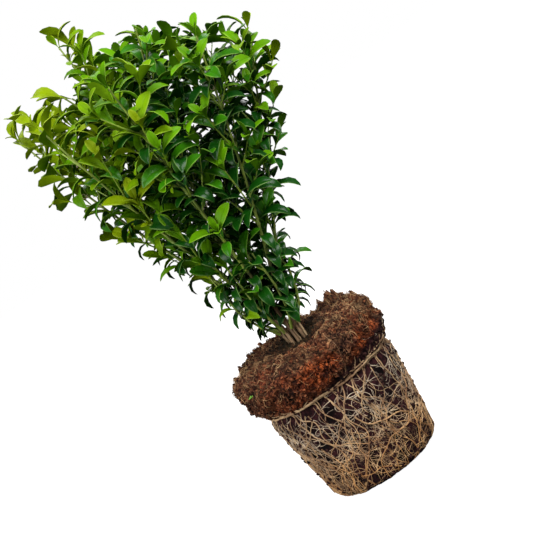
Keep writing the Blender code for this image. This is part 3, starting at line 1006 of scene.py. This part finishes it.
def sideLine(path, share, tip, count):
    spot = share * (len(path) - 1)
    low = int(spot)
    where = path[low].lerp(path[low + 1], spot - low)
    along = (path[low + 1] - path[low]).normalized()
    out = squared(tip - where, along)
    heading = (along * 0.7 + out * 0.7).normalized()
    start = where + out * (stemRadius(share) + clearance + shootRadius * heading.dot(along))
    return bentPath(start, heading, tip, count)


def massLines(stems):
    lines = {}
    for path, (onTip, onSide) in zip(stems, stemMasses.values()):
        heading = (path[-1] - path[-2]).normalized()
        lines[onTip] = bentPath(path[-1] + heading * clearance, heading, polar(*massTips[onTip]), 6)
        if onSide:
            lines[onSide] = sideLine(path, sideMassFrom, polar(*massTips[onSide]), 6)
    for k in range(lowMasses["count"]):
        azimuth = lowMasses["azimuth"] + 360 * k / lowMasses["count"]
        tip = polar(azimuth, lowMasses["reach"], lowMasses["height"])
        bearer = min(stems[1:], key=lambda path: (path[-1] - tip).length)
        lines[f"low_{k + 1}"] = sideLine(bearer, lowMasses["from"], tip, 4)
    return lines


stemLines = [stemLine(order) for order in range(len(stemMasses))]
shootLines = massLines(stemLines)


# the crown's growth
crown = {
    "foot": 0.165,
    "footRadius": 0.019,
    "slope": 0.50,
    "lean": 0.07,
    "radius": 0.125,
    "top": 0.480,
    "tilt": (0.16, -0.20),  # slope of the top to the left and to the right of the middle
    "fall": 0.020,
    "fallRadius": 0.120,
    "notches": ((-0.042, 0.014, 0.042), (0.060, 0.011, 0.026)),  # where along X, half width, depth
    "bays": (0.038, 36, 0.6),  # hollows between the sprays: how deep, how often, deeper on the left by
    "left": (0.03, 0.04),  # where the left begins, and over what run
    "spire": (-0.010, 0.019, 0.508),  # the leader stands out of the top: where along X, half width, height
}
growth = {
    "seed": 54,
    "gap": (0.0142, 0.0124, 0.0110),  # from node to node, on shoots, twigs and their twigs
    "leaf": 0.0342,
    "lowLeaf": 0.0305,
    "angle": 66,
    "young": {1: (0.92, 20), 2: (1.0, 10)},  # at the first nodes behind a tip: size, degrees less open
    "twigAngle": 38,
    "twig": 0.085,
    "subTwig": 0.034,
    "twigTries": (1.0, 0.8, 0.62, 0.46),
    "shortest": 0.016,
    "leafTries": ((1.0, 0), (1.0, 25), (1.0, -25), (0.85, 12), (0.8, -38)),  # size, swing in degrees
    "crowding": 0.0064,
    "twigCrowding": 0.0104,
    "tipGap": 0.021,
    "rosette": ((0.92, 40), (0.68, 26), (0.36, 12)),  # size and angle of each pair at a tip
    "sprout": ((1.0, 30), (0.6, 14)),
    "bud": 0.30,
    "budSize": 0.34,
    "toLight": 0.38,
    "toSide": 0.08,
    "roll": 0.28,
    "lush": 0.10,  # high up and not far to the right, the youngest leaves are longer by this share
    "lushAbove": (0.34, 0.06),
    "lushTo": 0.02,
    "airy": (0.20, 0.85, 0.40),  # on the left: leaves longer, leaves further apart, tips further apart
    "airyAside": (0.45, 0.25),
    "airyAbove": (0.27, 0.06),
    "slack": (0.005, 0.014, 0.28),  # how far tips may pass the reach: above, and below this height
    "radii": (0.00150, 0.00095, 0.00070),
    "node": (0.0018, 1.35),  # half length and how swollen
    "twigsTo": 0.93,  # share of a shoot that bears twigs
    "forked": 0.040,  # length from which a twig bears its own
    "lowSpace": 0.6,
    "leeway": 0.003,  # how much nearer the line of another mass may be
    "cell": 0.012,  # of the grid in which neighbours are looked up
    "sameNode": 0.004,
}

stemLeaves = {
    "pairs": 9,
    "from": 0.26,  # share of the stem
    "gap": 0.09,
    "swings": (0, 35, -35, 70, -70),
    "old": 6,  # how many pairs count as the oldest
    "ages": (6, 4),
    "depth": 0.02,  # how deep in the crown they count as
}


class Spaces:
    # The room in the crown: a point belongs to the mass whose line is nearest, low masses counting as nearer

    def __init__(self, lines):
        self.names = list(lines)
        ends = [(a, b) for path in lines.values() for a, b in zip(path, path[1:])]
        self.starts = np.array([a for a, _ in ends])
        self.runs = np.array([b - a for a, b in ends])
        self.squares = (self.runs**2).sum(axis=1)
        counts = [len(path) - 1 for path in lines.values()]
        self.firsts = np.cumsum([0, *counts[:-1]])
        self.scales = np.array([growth["lowSpace"] if isLow(name) else 1 for name in self.names])

    def keeps(self, name, points):
        own = self.names.index(name)
        away = np.array(points)[:, None, :] - self.starts
        share = np.clip((away * self.runs).sum(axis=2) / self.squares, 0, 1)
        gaps = np.linalg.norm(away - share[:, :, None] * self.runs, axis=2)
        near = np.minimum.reduceat(gaps, self.firsts, axis=1) * self.scales
        return bool((near[:, own] <= near.min(axis=1) + growth["leeway"]).all())


def crownDepth(point):
    # How far inside the crown's reach a point lies, below zero outside it
    above = point.z - crown["foot"]
    radius = math.hypot(point.x - crown["lean"] * above, point.y)
    side = min(crown["footRadius"] + crown["slope"] * above, crown["radius"]) - radius
    top = crown["top"] + crown["tilt"][point.x > 0] * point.x
    top -= crown["fall"] * (point.xy.length / crown["fallRadius"]) ** 6
    for where, width, deep in crown["notches"]:
        top -= deep * math.exp(-(((point.x - where) / width) ** 2))
    where, width, high = crown["spire"]
    if math.hypot(point.x - where, point.y) < width:
        top = high
    deep, often, more = crown["bays"]
    deep *= 1 + more * ease(-point.x, *crown["left"])
    bay = deep * max(0.0, noise.noise(point * often) + 0.05)
    return min(side, top - point.z, point.z - ground - 0.0015 + bay) - bay


def sideOf(point):
    # How far left or right of the crown's middle a point lies, as a share of its reach there
    above = point.z - crown["foot"]
    reach = max(0.025, min(crown["footRadius"] + crown["slope"] * above, crown["radius"]))
    return (point.x - crown["lean"] * above) / reach


def airyAt(point):
    # How open the growth is: only on the left, and less so low down
    return ease(-sideOf(point), *growth["airyAside"]) * ease(point.z, *growth["airyAbove"])


def slackAt(height):
    high, low, limit = growth["slack"]
    return low if height < limit else high


def isLow(name):
    return name.startswith("low_")


Leaf = namedtuple("Leaf", "where aim face size age spray depth")


class Crown:
    # Grows shoots, then twigs, then their twigs, and keeps what each leaf needs to be placed

    def __init__(self, lines):
        self.spaces = Spaces(lines)
        self.dice = random.Random(growth["seed"])
        self.leaves = []
        self.limbs = []
        self.cells = {}
        self.tips = []
        self.waiting = []

    def cell(self, point):
        return tuple(int(math.floor(c / growth["cell"])) for c in point)

    def fill(self, point, node):
        self.cells.setdefault(self.cell(point), []).append((point, node.copy()))

    def crowded(self, point, node, size):
        # Whether a leaf of another node is nearer to the point than this
        x, y, z = self.cell(point)
        for dx, dy, dz in product((-1, 0, 1), repeat=3):
            for other, theirs in self.cells.get((x + dx, y + dy, z + dz), ()):
                if (other - point).length < size and (theirs - node).length > growth["sameNode"]:
                    return True
        return False

    def addLeaf(self, name, where, along, side, angle, length, age, spray, small=False):
        airy = airyAt(where)
        length *= 1 + growth["airy"][0] * airy
        crowding = growth["crowding"] * (1 + growth["airy"][1] * airy)
        if age < 2:
            length *= 1 + growth["lush"] * ease(where.z, *growth["lushAbove"]) * (where.x < growth["lushTo"])
        for share, swing in growth["leafTries"]:
            turned = Matrix.Rotation(math.radians(swing), 3, along) @ side
            tilt = math.radians(angle)
            aim = (along * math.cos(tilt) + turned * math.sin(tilt)).normalized()
            face = along * math.sin(tilt) - turned * math.cos(tilt)
            outward = Vector((where.x, where.y, 0)).normalized() * growth["toSide"]
            roll = along.cross(turned) * self.dice.gauss(0, 1) * growth["roll"]
            face = (face + outward + roll + Vector((0, 0, growth["toLight"]))).normalized()
            size = length * share
            middle = where + aim * size * 0.55
            if crownDepth(where + aim * size * 0.95) < -slackAt(where.z):
                continue
            if not self.spaces.keeps(name, [middle]):
                continue
            if not small:
                if self.crowded(middle, where, crowding):
                    continue
                self.fill(middle, where)
            self.leaves.append(Leaf(where, aim, face, size, age, spray, crownDepth(middle)))
            return

    def addTip(self, name, where, along, side, leafSize, spray, pairs):
        for k, (size, tilt) in enumerate(pairs):
            turned = Matrix.Rotation(math.radians(90 * k), 3, along) @ side
            for way in (turned, -turned):
                long = leafSize * size * self.dice.uniform(0.85, 1.15)
                start = where + along * 0.0012 * k
                angle = tilt + self.dice.uniform(-5, 5)
                self.addLeaf(name, start, along, way, angle, long, -k, spray, k > 0)

    def addShoot(self, name, path, first, level, spray, leafSize):
        # Pairs of leaves at crossed nodes along a path, a rosette at its tip, and twigs put by for later
        length = pathLength(path)
        gap = growth["gap"][level]
        count = max(1, round((length - first) / gap))
        turn = self.dice.uniform(0, 180)
        across = pathSpot(path, 0)[1].orthogonal().normalized()
        radius = growth["radii"][level]
        limb = [(path[0] - pathSpot(path, 0)[1] * 0.001, radius * 1.15)]
        for n in range(count + 1):
            share = min(1.0, (first + n * (length - first) / count) / length)
            where, along = pathSpot(path, share)
            across = squared(across, along)
            side = Matrix.Rotation(math.radians(turn + 90 * n + self.dice.uniform(-8, 8)), 3, along) @ across
            age = count - n
            thin = radius * (1 - 0.5 * share)
            half, swollen = growth["node"]
            for apart, size in ((-half, 1), (0, swollen), (half, 0.98)):
                limb.append((where + along * apart, thin * size))
            if age == 0:
                self.addTip(name, where, along, side, leafSize, spray, growth["rosette"])
                break
            young, closed = growth["young"].get(age, (1.0, 0))
            tilt = growth["angle"] - closed + self.dice.uniform(-9, 9)
            for way in (side, -side):
                long = leafSize * young * self.dice.uniform(0.84, 1.14)
                self.addLeaf(name, where, along, way, tilt + self.dice.uniform(-6, 6), long, age, spray)
            if level == 0 and share < growth["twigsTo"]:
                reach = growth["twig"] * (1 - share) ** 0.5 * (0.5 if isLow(name) else 1)
                reach *= 1 if n % 2 or share > 0.5 else 0.6
                self.waiting.append((name, where, along, side, reach, 1, leafSize))
            elif level == 1 and length > growth["forked"] and n % 2 == 1 and age > 2:
                self.waiting.append((name, where, along, side, growth["subTwig"], 2, leafSize * 0.93))
            elif self.dice.random() < growth["bud"]:
                lean = (along + side * self.dice.choice((-0.6, 0.6))).normalized()
                size = leafSize * growth["budSize"]
                self.addTip(name, where, lean, squared(side, lean), size, spray - 0.2, growth["sprout"])
        limb[-1] = (limb[-1][0], limb[-1][1] * 0.6)
        self.limbs.append((limb, level))

    def addTwigs(self, name, where, along, side, longest, level, leafSize):
        # One twig on each side of a node, as long as there is room for
        tilt = math.radians(growth["twigAngle"])
        for way in (side, -side):
            direction = along * math.cos(tilt) + way * math.sin(tilt)
            lifted = (direction + Vector((0, 0, 0.5))).normalized()
            reach = longest * self.dice.uniform(0.8, 1.1)
            for share in growth["twigTries"]:
                length = reach * share
                if length < growth["shortest"]:
                    break
                tip = where + (direction * 0.55 + lifted * 0.45).normalized() * length
                if crownDepth(tip + lifted * 0.014) < 0 or not self.spaces.keeps(name, [tip]):
                    continue
                if self.crowded(tip, where, growth["twigCrowding"]):
                    continue
                apart = growth["tipGap"] * (1 + growth["airy"][2] * airyAt(tip))
                if any((tip - other).length < apart for other in self.tips):
                    continue
                self.tips.append(tip)
                path = bentPath(where, direction, tip, 5)
                self.addShoot(name, path, 0.009, level, self.dice.random(), leafSize)
                break

    def grow(self, stems, lines):
        for line in stems:
            self.addStemLeaves(line)
        for name, path in lines.items():
            size = growth["lowLeaf" if isLow(name) else "leaf"]
            self.addShoot(name, path, 0.006, 0, self.dice.random(), size)
        while self.waiting:
            queue, self.waiting = self.waiting, []
            self.dice.shuffle(queue)
            for item in queue:
                self.addTwigs(*item)

    def addStemLeaves(self, line):
        # Old leaves on the stems themselves, from just above the peat to where their shoots begin
        turn = self.dice.uniform(0, 180)
        across = Vector((1, 0, 0))
        for n in range(stemLeaves["pairs"]):
            where, along = pathSpot(line, stemLeaves["from"] + stemLeaves["gap"] * n)
            across = squared(across, along)
            side = Matrix.Rotation(math.radians(turn + 90 * n), 3, along) @ across
            spray = self.dice.random()
            for way in (side, -side):
                for swing in stemLeaves["swings"]:
                    turned = Matrix.Rotation(math.radians(swing), 3, along) @ way
                    out = where + turned * stemRadius(0.5) * 0.6
                    long = growth["lowLeaf"] * self.dice.uniform(0.85, 1.12)
                    aim = (along * self.dice.uniform(0.2, 0.5) + turned * 0.92).normalized()
                    middle = out + aim * long * 0.5
                    if crownDepth(out + aim * long * 0.8) < -slackAt(where.z):
                        continue
                    if self.crowded(middle, where, growth["crowding"]):
                        continue
                    face = (along * 0.92 - turned * 0.4 + Vector((0, -0.15, 0.3))).normalized()
                    self.fill(middle, where)
                    age = stemLeaves["ages"][n >= stemLeaves["old"]]
                    self.leaves.append(Leaf(out, aim, face, long, age, spray, stemLeaves["depth"]))
                    break


crownGrowth = Crown(shootLines)
crownGrowth.grow(stemLines, shootLines)
print(len(crownGrowth.leaves), "leaves,", len(crownGrowth.limbs), "shoots and twigs")


# leaves
leafShape = {
    "stations": (0.0, 0.08, 0.18, 0.33, 0.49, 0.65, 0.80, 0.93, 1.0),
    "belly": 0.016,  # how far the underside hangs below the rib
    "petiole": 0.018,
    "stalk": 0.08,  # share of the length before the blade begins
    "margin": 0.87,
    "rib": 0.055,
    "groove": 0.016,
    "sag": 0.40,  # how much the halves of the blade flatten towards the margin
    "lip": 0.10,
    "sharp": 70,
}
# width of length, fullness of base and tip, fold along the rib, bend down and twist in degrees
leafKinds = {
    "leafKind0": (0.345, 1.38, 0.74, 0.62, 28, 4),
    "leafKind1": (0.345, 1.35, 0.86, 0.56, 58, 10),
    "leafKind2": (0.34, 1.20, 0.98, 0.50, 90, -14),
    "leafKind3": (0.34, 1.10, 1.08, 0.40, 116, 16),
    "leafKind4": (0.33, 1.15, 1.02, 0.56, 80, 34),
    "leafKind5": (0.38, 1.50, 0.56, 0.50, 44, 8),  # broad young leaves on the left
}


def leafSpine(bend):
    # Where the rib runs at each station, and how it is turned there
    spots, x, z, last = [], 0.0, 0.0, 0.0
    for t in leafShape["stations"]:
        turn = math.radians(bend) * (0.35 - 1.35 * t**1.4)
        x += math.cos(turn) * (t - last)
        z += math.sin(turn) * (t - last)
        last = t
        spots.append((t, Vector((x, 0, z)), Vector((-math.sin(turn), 0, math.cos(turn)))))
    return spots


def leafMesh(name, width, base, end, fold, bend, twist):
    # A blade one unit long along X: a face above with its rib and margins marked, and an underside
    bm = bmesh.new()
    margin, rib, stalk = (leafShape[part] for part in ("margin", "rib", "stalk"))
    columns = (-1, -margin, -rib, rib, margin, 1)
    widest = base / (base + end)
    peak = widest**base * (1 - widest) ** end
    tops, unders = [], []
    for t, spot, up in leafSpine(bend):
        if t in (0.0, 1.0):
            vert = bm.verts.new(spot)
            tops.append([vert] * len(columns))
            unders.append([vert] * 3)
            continue
        blade = max(0.0, (t - stalk) / (1 - stalk))
        half = max(width / 2 * (blade**base * (1 - blade) ** end / peak), leafShape["petiole"])
        roll = math.radians(twist) * t
        side = Vector((0, 1, 0))
        row = []
        for s in columns:
            rise = fold * abs(s) * half - leafShape["sag"] * fold * s * s * half
            if abs(s) == 1:
                rise -= leafShape["lip"] * half
            if abs(s) == rib and half > leafShape["petiole"]:
                rise -= leafShape["groove"]
            point = spot + (side * math.cos(roll) + up * math.sin(roll)) * (s * half)
            row.append(bm.verts.new(point + (up * math.cos(roll) - side * math.sin(roll)) * rise))
        tops.append(row)
        unders.append([row[0], bm.verts.new(spot - up * leafShape["belly"]), row[-1]])
    pale = bm.faces.layers.int.new("paleFace")
    below = bm.faces.layers.int.new("underFace")

    def face(*corners):
        return bm.faces.new(list(dict.fromkeys(corners)))

    for low, high in zip(tops, tops[1:]):
        for k in range(len(columns) - 1):
            made = face(low[k], high[k], high[k + 1], low[k + 1])
            # the margin strips take a paler tint: the leaf's own pale edge and a painted highlight along it
            made[pale] = k in (0, 4)
            made[below] = k == 2
    for low, high in zip(unders, unders[1:]):
        for k in range(2):
            face(low[k + 1], high[k + 1], high[k], low[k])[below] = 1
    bmesh.ops.recalc_face_normals(bm, faces=bm.faces)
    mesh = meshOf(name, bm)
    mesh.set_sharp_from_angle(angle=math.radians(leafShape["sharp"]))
    return mesh


def leafTree():
    # Puts a leaf on each bud: its kind, size, aim and face are the bud's own
    inputs = {"Shapes": "Collection", "Leaf size": "Float", "Size spread": "Float", "Seed": "Int"}
    inputs |= {"Blade": "Material", "Rib and margin": "Material", "Underside": "Material"}
    tree, given, end, known = newTree("placeLeaves", **inputs)

    def attribute(kind, label):
        return addNode(tree, "GeometryNodeInputNamedAttribute", {"Name": label}, data_type=kind).outputs[0]

    def result(kind, first, second):
        return addNode(tree, "ShaderNodeMath", {0: first, 1: second}, operation=kind).outputs[0]

    sockets = {0: attribute("FLOAT_VECTOR", "aim"), 1: attribute("FLOAT_VECTOR", "face")}
    axes = {"primary_axis": "X", "secondary_axis": "Z"}
    turn = addNode(tree, "FunctionNodeAxesToRotation", sockets, **axes).outputs[0]
    spread = given["Size spread"]
    size = dealt(tree, given, result("SUBTRACT", 1, spread), result("ADD", 1, spread))
    size = result("MULTIPLY", result("MULTIPLY", attribute("FLOAT", "size"), size), given["Leaf size"])
    pick = {"Instance Index": attribute("INT", "kind")}
    last = placed(tree, given, given["Geometry"], turn, size, **pick)
    last = dressed(tree, last, given["Blade"])
    last = dressed(tree, last, given["Rib and margin"], Selection=attribute("INT", "paleFace"))
    last = dressed(tree, last, given["Underside"], Selection=attribute("INT", "underFace"))
    tree.links.new(last, end.inputs[0])
    return tree, known


# blade colour, margin colour with its painted edge highlight, underside colour, roughness, shine
tints = {
    "lime": ((0.185, 0.270, 0.001), (0.24, 0.33, 0.02), (0.18, 0.27, 0.003), 0.50, 0.06),
    "fresh": ((0.128, 0.248, 0.001), (0.20, 0.32, 0.02), (0.110, 0.22, 0.003), 0.44, 0.06),
    "mid": ((0.080, 0.216, 0.001), (0.15, 0.28, 0.020), (0.062, 0.170, 0.003), 0.38, 0.06),
    "deep": ((0.022, 0.122, 0.001), (0.10, 0.21, 0.022), (0.026, 0.100, 0.004), 0.32, 0.18),
    "dark": ((0.004, 0.046, 0.002), (0.080, 0.160, 0.034), (0.010, 0.052, 0.005), 0.28, 0.18),
}
# a leaf's score is the sum of what makes it dark, and its tint is the first whose limit it stays under
tintRule = {
    "limits": {"lime": 0.62, "fresh": 1.65, "mid": 2.65, "deep": 3.6, "dark": math.inf},
    "tip": 0.55,
    "age": (1.25, 0.42, 3.4),  # at the first node, more for each node further back, at most
    "shade": (0.012, 15.6),  # painted shade: from how deep in the crown, and how much per metre
    "low": (0.395, 0.075, -0.9, 1.6, 0.75),  # from which height down, run, least and most, weight
    "east": 5,
    "spray": 1.9,
    "mottle": (400, 0.55),
    "core": (0.22, 0.75, 1.55),  # where across the crown, half width, how much
    "leftRimFreshAndLit": (0.44, 2.3),  # from how far out, and how much less: partly fresh sprays, partly painted light on the rim
    "rightRimFreshAndLit": (0.72, 3.2),
}
leafSettings = {"seed": 77, "size": 1.0, "spread": 0.05, "sizeSeed": 9}


def leafFinish(name, colour, roughness, shine):
    f = Finish(name, roughness, shine)
    f.colour(f.ramp(f.noise(55, 2), (0.32, shaded(colour, 0.80)), (0.68, shaded(colour, 1.20))))
    f.rough(f.noise(160, 2), roughness - 0.05, roughness + 0.08)
    f.relief(f.noise(520, 3), 0.25, 0.0006)
    return f.made


def tintOf(leaf):
    # Young, high, outer leaves are yellow and low, inner ones dark, dealt out a spray at a time; the
    # darkening with depth in the crown is painted shade, and the lighter leaves at the left and right rims
    # are partly painted light
    rule = tintRule
    first, more, most = rule["age"]
    score = min(most, rule["tip"] if leaf.age <= 0 else first + more * (leaf.age - 1))
    start, weight = rule["shade"]
    score += weight * max(0.0, leaf.depth - start)
    start, run, least, most, weight = rule["low"]
    score += max(least, min(most, (start - leaf.where.z) / run)) * weight
    score += leaf.where.x * rule["east"] + (leaf.spray - 0.5) * rule["spray"]
    often, weight = rule["mottle"]
    score += weight * noise.noise(leaf.where * often)
    side = sideOf(leaf.where)
    middle, width, weight = rule["core"]
    score += weight * max(0.0, 1 - abs(side - middle) / width)
    # partly painted light: leaves at the left and right rims are lighter, partly as fresh sprays
    for rim, out in (("leftRimFreshAndLit", -side), ("rightRimFreshAndLit", side)):
        start, weight = rule[rim]
        score -= weight * max(0.0, out - start)
    return next(tint for tint, limit in rule["limits"].items() if score < limit)


def kindOf(leaf, dice):
    # The youngest leaves are straight and the oldest curled
    if leaf.age < 4 and airyAt(leaf.where) > 0.4:
        kinds = (1, 5, 5)
    elif leaf.age < 0:
        kinds = (0,)
    elif leaf.age < 2:
        kinds = (1,)
    else:
        kinds = (1, 2, 4) if leaf.age < 4 else (2, 3, 3, 4)
    return dice.choice(kinds)


def budMesh(name, leaves, dice):
    mesh = bpy.data.meshes.new(name)
    mesh.from_pydata([leaf.where for leaf in leaves], [], [])
    for label in ("aim", "face"):
        field = mesh.attributes.new(label, "FLOAT_VECTOR", "POINT")
        field.data.foreach_set("vector", [v for leaf in leaves for v in getattr(leaf, label)])
    field = mesh.attributes.new("size", "FLOAT", "POINT")
    field.data.foreach_set("value", [leaf.size for leaf in leaves])
    field = mesh.attributes.new("kind", "INT", "POINT")
    field.data.foreach_set("value", [kindOf(leaf, dice) for leaf in leaves])
    return mesh


def addLeaves():
    dice = random.Random(leafSettings["seed"])
    group = shapeGroup("leafKinds", [leafMesh(name, *shape) for name, shape in leafKinds.items()])
    tree, known = leafTree()
    buds = {tint: [] for tint in tints}
    for leaf in crownGrowth.leaves:
        buds[tintOf(leaf)].append(leaf)
    lowNodes = [name for name in massNodes if "_low_" in name]
    highNodes = [name for name in massNodes if "_low_" not in name]
    for tint, (blade, rib, under, roughness, shine) in tints.items():
        values = {
            "Shapes": group,
            "Leaf size": leafSettings["size"],
            "Size spread": leafSettings["spread"],
            "Seed": leafSettings["sizeSeed"],
            "Blade": leafFinish(tint + "LeafFinish", blade, roughness, shine),
            # the margins' tint: their own pale edge and a painted highlight along it
            "Rib and margin": leafFinish(tint + "RibFinish", rib, roughness + 0.1, 0.08),
            "Underside": leafFinish(tint + "UnderFinish", under, roughness + 0.2, 0.03),
        }
        source = linked(tint + "Buds", budMesh(tint + "Buds", buds[tint], dice))
        piece = grown(tint + "Leaves", source, tree, known, values)
        if tint == "dark":
            settle(piece, "dark_leaf", *lowNodes)
        else:
            settle(piece, "leaf", *highNodes)
        print(tint, len(buds[tint]), "leaves")
    dropGroup(group)


addLeaves()
print("leaves ready")


def twigFinish(name, pale, deep):
    # Streaked lengthways
    f = Finish(name, 0.5)
    f.colour(f.ramp(f.noise(120, 3, (1, 1, 0.3)), (0.35, deep), (0.65, pale)))
    f.relief(f.noise(700, 3, (1, 1, 0.25)), 0.4, 0.0004)
    return f.made


def stemFinish():
    # Brown at the foot, green where the stems reach their shoots
    f = Finish("stemFinish", 0.75)
    streaks = f.noise(260, 4, (1, 1, 0.16), 0.6)
    brown = f.ramp(streaks, (0.34, (0.060, 0.030, 0.014)), (0.66, (0.34, 0.21, 0.105)))
    green = f.ramp(streaks, (0.34, (0.045, 0.060, 0.012)), (0.66, (0.13, 0.16, 0.035)))
    f.colour(f.blend(f.height(0.178, 0.235), brown, green))
    f.relief(streaks, 0.7, 0.0008)
    return f.made


stems = {
    "sides": 12,
    "steps": 46,
    "sunk": 0.014,  # how far a foot goes down into the peat
    "sunkShare": 0.08,  # of the steps
    "ridges": 0.16,
    "nodes": (5.6, 0.09, 0.22),  # how many, half width as a share of their gap, how swollen
}


def stemSpot(order, share):
    # Middle, direction and radius of a stem's bark at a share of its steps
    line, below = stemLines[order], stems["sunkShare"]
    if share < below:
        foot = line[0] - Vector((0, 0, stems["sunk"]))
        radius = stemRadius(0) * (0.56 + 0.1 * share / below)
        return foot.lerp(line[0], share / below), Vector((0, 0, 1)), radius
    part = (share - below) / (1 - below)
    count, width, swollen = stems["nodes"]
    node = math.exp(-(((part * count + order * 0.37) % 1 - 0.5) / width) ** 2)
    return *pathSpot(line, part), stemRadius(part) * min(0.85, 0.66 + 1.5 * part) * (1 + swollen * node)


def barkStems():
    # Stems with ridged bark and swollen nodes, their feet sunk in the peat
    bm = bmesh.new()
    for order in range(len(stemLines)):
        rings = []
        for n in range(stems["steps"] + 1):
            where, along, radius = stemSpot(order, n / stems["steps"])
            across = squared(Vector((1, 0, 0)), along)
            other = along.cross(across)
            ring = []
            for k in range(stems["sides"]):
                turn = math.tau * k / stems["sides"]
                way = across * math.cos(turn) + other * math.sin(turn)
                ridge = noise.noise(Vector((way.x * 2.4 + order * 5, way.y * 2.4, where.z * 90)))
                ring.append(bm.verts.new(where + way * radius * (1 + stems["ridges"] * ridge)))
            rings.append(ring)
        skin(bm, rings)
        bm.faces.new(reversed(rings[0]))
        bm.faces.new(rings[-1])
    return linked("stems", meshOf("stems", bm, stemFinish()))


strands = {
    "seed": 3,
    "count": 34,
    "radius": 0.00042,
    "reach": (0.003, 0.0115),
    "from": -0.013,
    "tall": 0.034,
    "points": 8,
}


def addStrands():
    # Thin dry stalks among the feet of the stems
    dice = random.Random(strands["seed"])
    paths = []
    for _ in range(strands["count"]):
        azimuth, reach = dice.uniform(0, 360), dice.uniform(*strands["reach"])
        tall = strands["tall"] * dice.uniform(0.35, 1)
        radius = strands["radius"] * dice.uniform(0.7, 1.5)
        path = []
        for n in range(strands["points"]):
            height = ground + strands["from"] + (tall - strands["from"]) * n / (strands["points"] - 1)
            turned = azimuth + dice.uniform(-5, 5)
            out = reach * (1 + 0.04 * n) + dice.uniform(-0.0004, 0.0004)
            path.append((polar(turned, out, height), radius * (1.1 - 0.08 * n)))
        paths.append(path)
    dry = twigFinish("strandFinish", (0.44, 0.31, 0.17), (0.15, 0.085, 0.04))
    settle(tubes("strands", paths, 5, dry), "bark", *stemNodes)


settle(barkStems(), "bark", *stemNodes)
addStrands()
greenTwig = twigFinish("greenTwigFinish", (0.24, 0.34, 0.03), (0.13, 0.22, 0.015))
oliveTwig = twigFinish("oliveTwigFinish", (0.24, 0.32, 0.045), (0.11, 0.16, 0.02))
shoots = [limb for limb, level in crownGrowth.limbs if level == 0]
twigs = [limb for limb, level in crownGrowth.limbs if level > 0]
settle(tubes("shoots", shoots, 8, oliveTwig), "bark", *massNodes)
settle(tubes("twigs", twigs, 6, greenTwig), "bark", *massNodes)
print("limbs ready")


# a seedling in the peat, and withered bits in the crown
seedling = {"azimuth": -146, "height": 0.131, "leaf": 0.0034, "tall": 0.0026, "leaves": 4}
withered = {"seed": 8, "count": 14, "radius": 0.00042, "curl": 0.0026, "turns": 1.6, "steps": 14}


def addSeedling():
    shape = leafMesh("seedlingLeaf", 0.85, 0.8, 0.6, 0.3, 20, 0)
    foot = peatSpot(math.radians(seedling["azimuth"]), runAt(seedling["height"]))
    up = Vector((foot.x * 3, foot.y * 3, 0.5)).normalized()
    top = foot + up * seedling["tall"]
    stand = Matrix.Translation(top) @ up.to_track_quat("Z", "Y").to_matrix().to_4x4()
    bm = bmesh.new()
    for k in range(seedling["leaves"]):
        turn = Matrix.Rotation(math.tau * k / seedling["leaves"] + 0.4, 4, "Z")
        whole = stand @ (turn @ Matrix.Rotation(math.radians(-18 * (k % 2) - 8), 4, "Y"))
        part = shape.copy()
        part.transform(whole @ Matrix.Scale(seedling["leaf"] * (1 - 0.25 * (k % 2)), 4))
        bm.from_mesh(part)
        bpy.data.meshes.remove(part)
    bpy.data.meshes.remove(shape)
    finish = leafFinish("seedlingFinish", (0.20, 0.46, 0.06), 0.5, 0.2)
    settle(linked("seedling", meshOf("seedling", bm, finish)), "leaf", "root_ball")
    stalk = [(foot - up * 0.001, 0.0004), (foot + up * 0.001, 0.00035), (top + up * 0.0003, 0.0003)]
    settle(tubes("seedlingStalk", [stalk], 6, greenTwig), "leaf", "root_ball")


def addWithered():
    # Curled dry remains of leaves that hang on at old nodes
    dice = random.Random(withered["seed"])
    old = [leaf for leaf in crownGrowth.leaves if leaf.age > 2 and leaf.depth < 0.03 and leaf.where.z > 0.28]
    paths = []
    for where, aim, face, *_ in dice.sample(old, withered["count"]):
        side = aim.cross(face).normalized()
        path = []
        for n in range(withered["steps"] + 1):
            share = n / withered["steps"]
            turn = math.tau * withered["turns"] * share
            curl = withered["curl"] * (0.35 + 0.65 * share)
            spot = where + aim * (0.003 + 0.009 * share)
            spot += (side * math.cos(turn) + face * math.sin(turn)) * curl
            path.append((spot, withered["radius"] * (1 - 0.6 * share)))
        paths.append(path)
    dry = twigFinish("witheredFinish", (0.46, 0.38, 0.26), (0.22, 0.16, 0.09))
    settle(tubes("witheredBits", paths, 5, dry), "bark", *massNodes)


addSeedling()
addWithered()
print("small things ready")


print(sum(triangles(piece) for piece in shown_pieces()), "triangles in all")
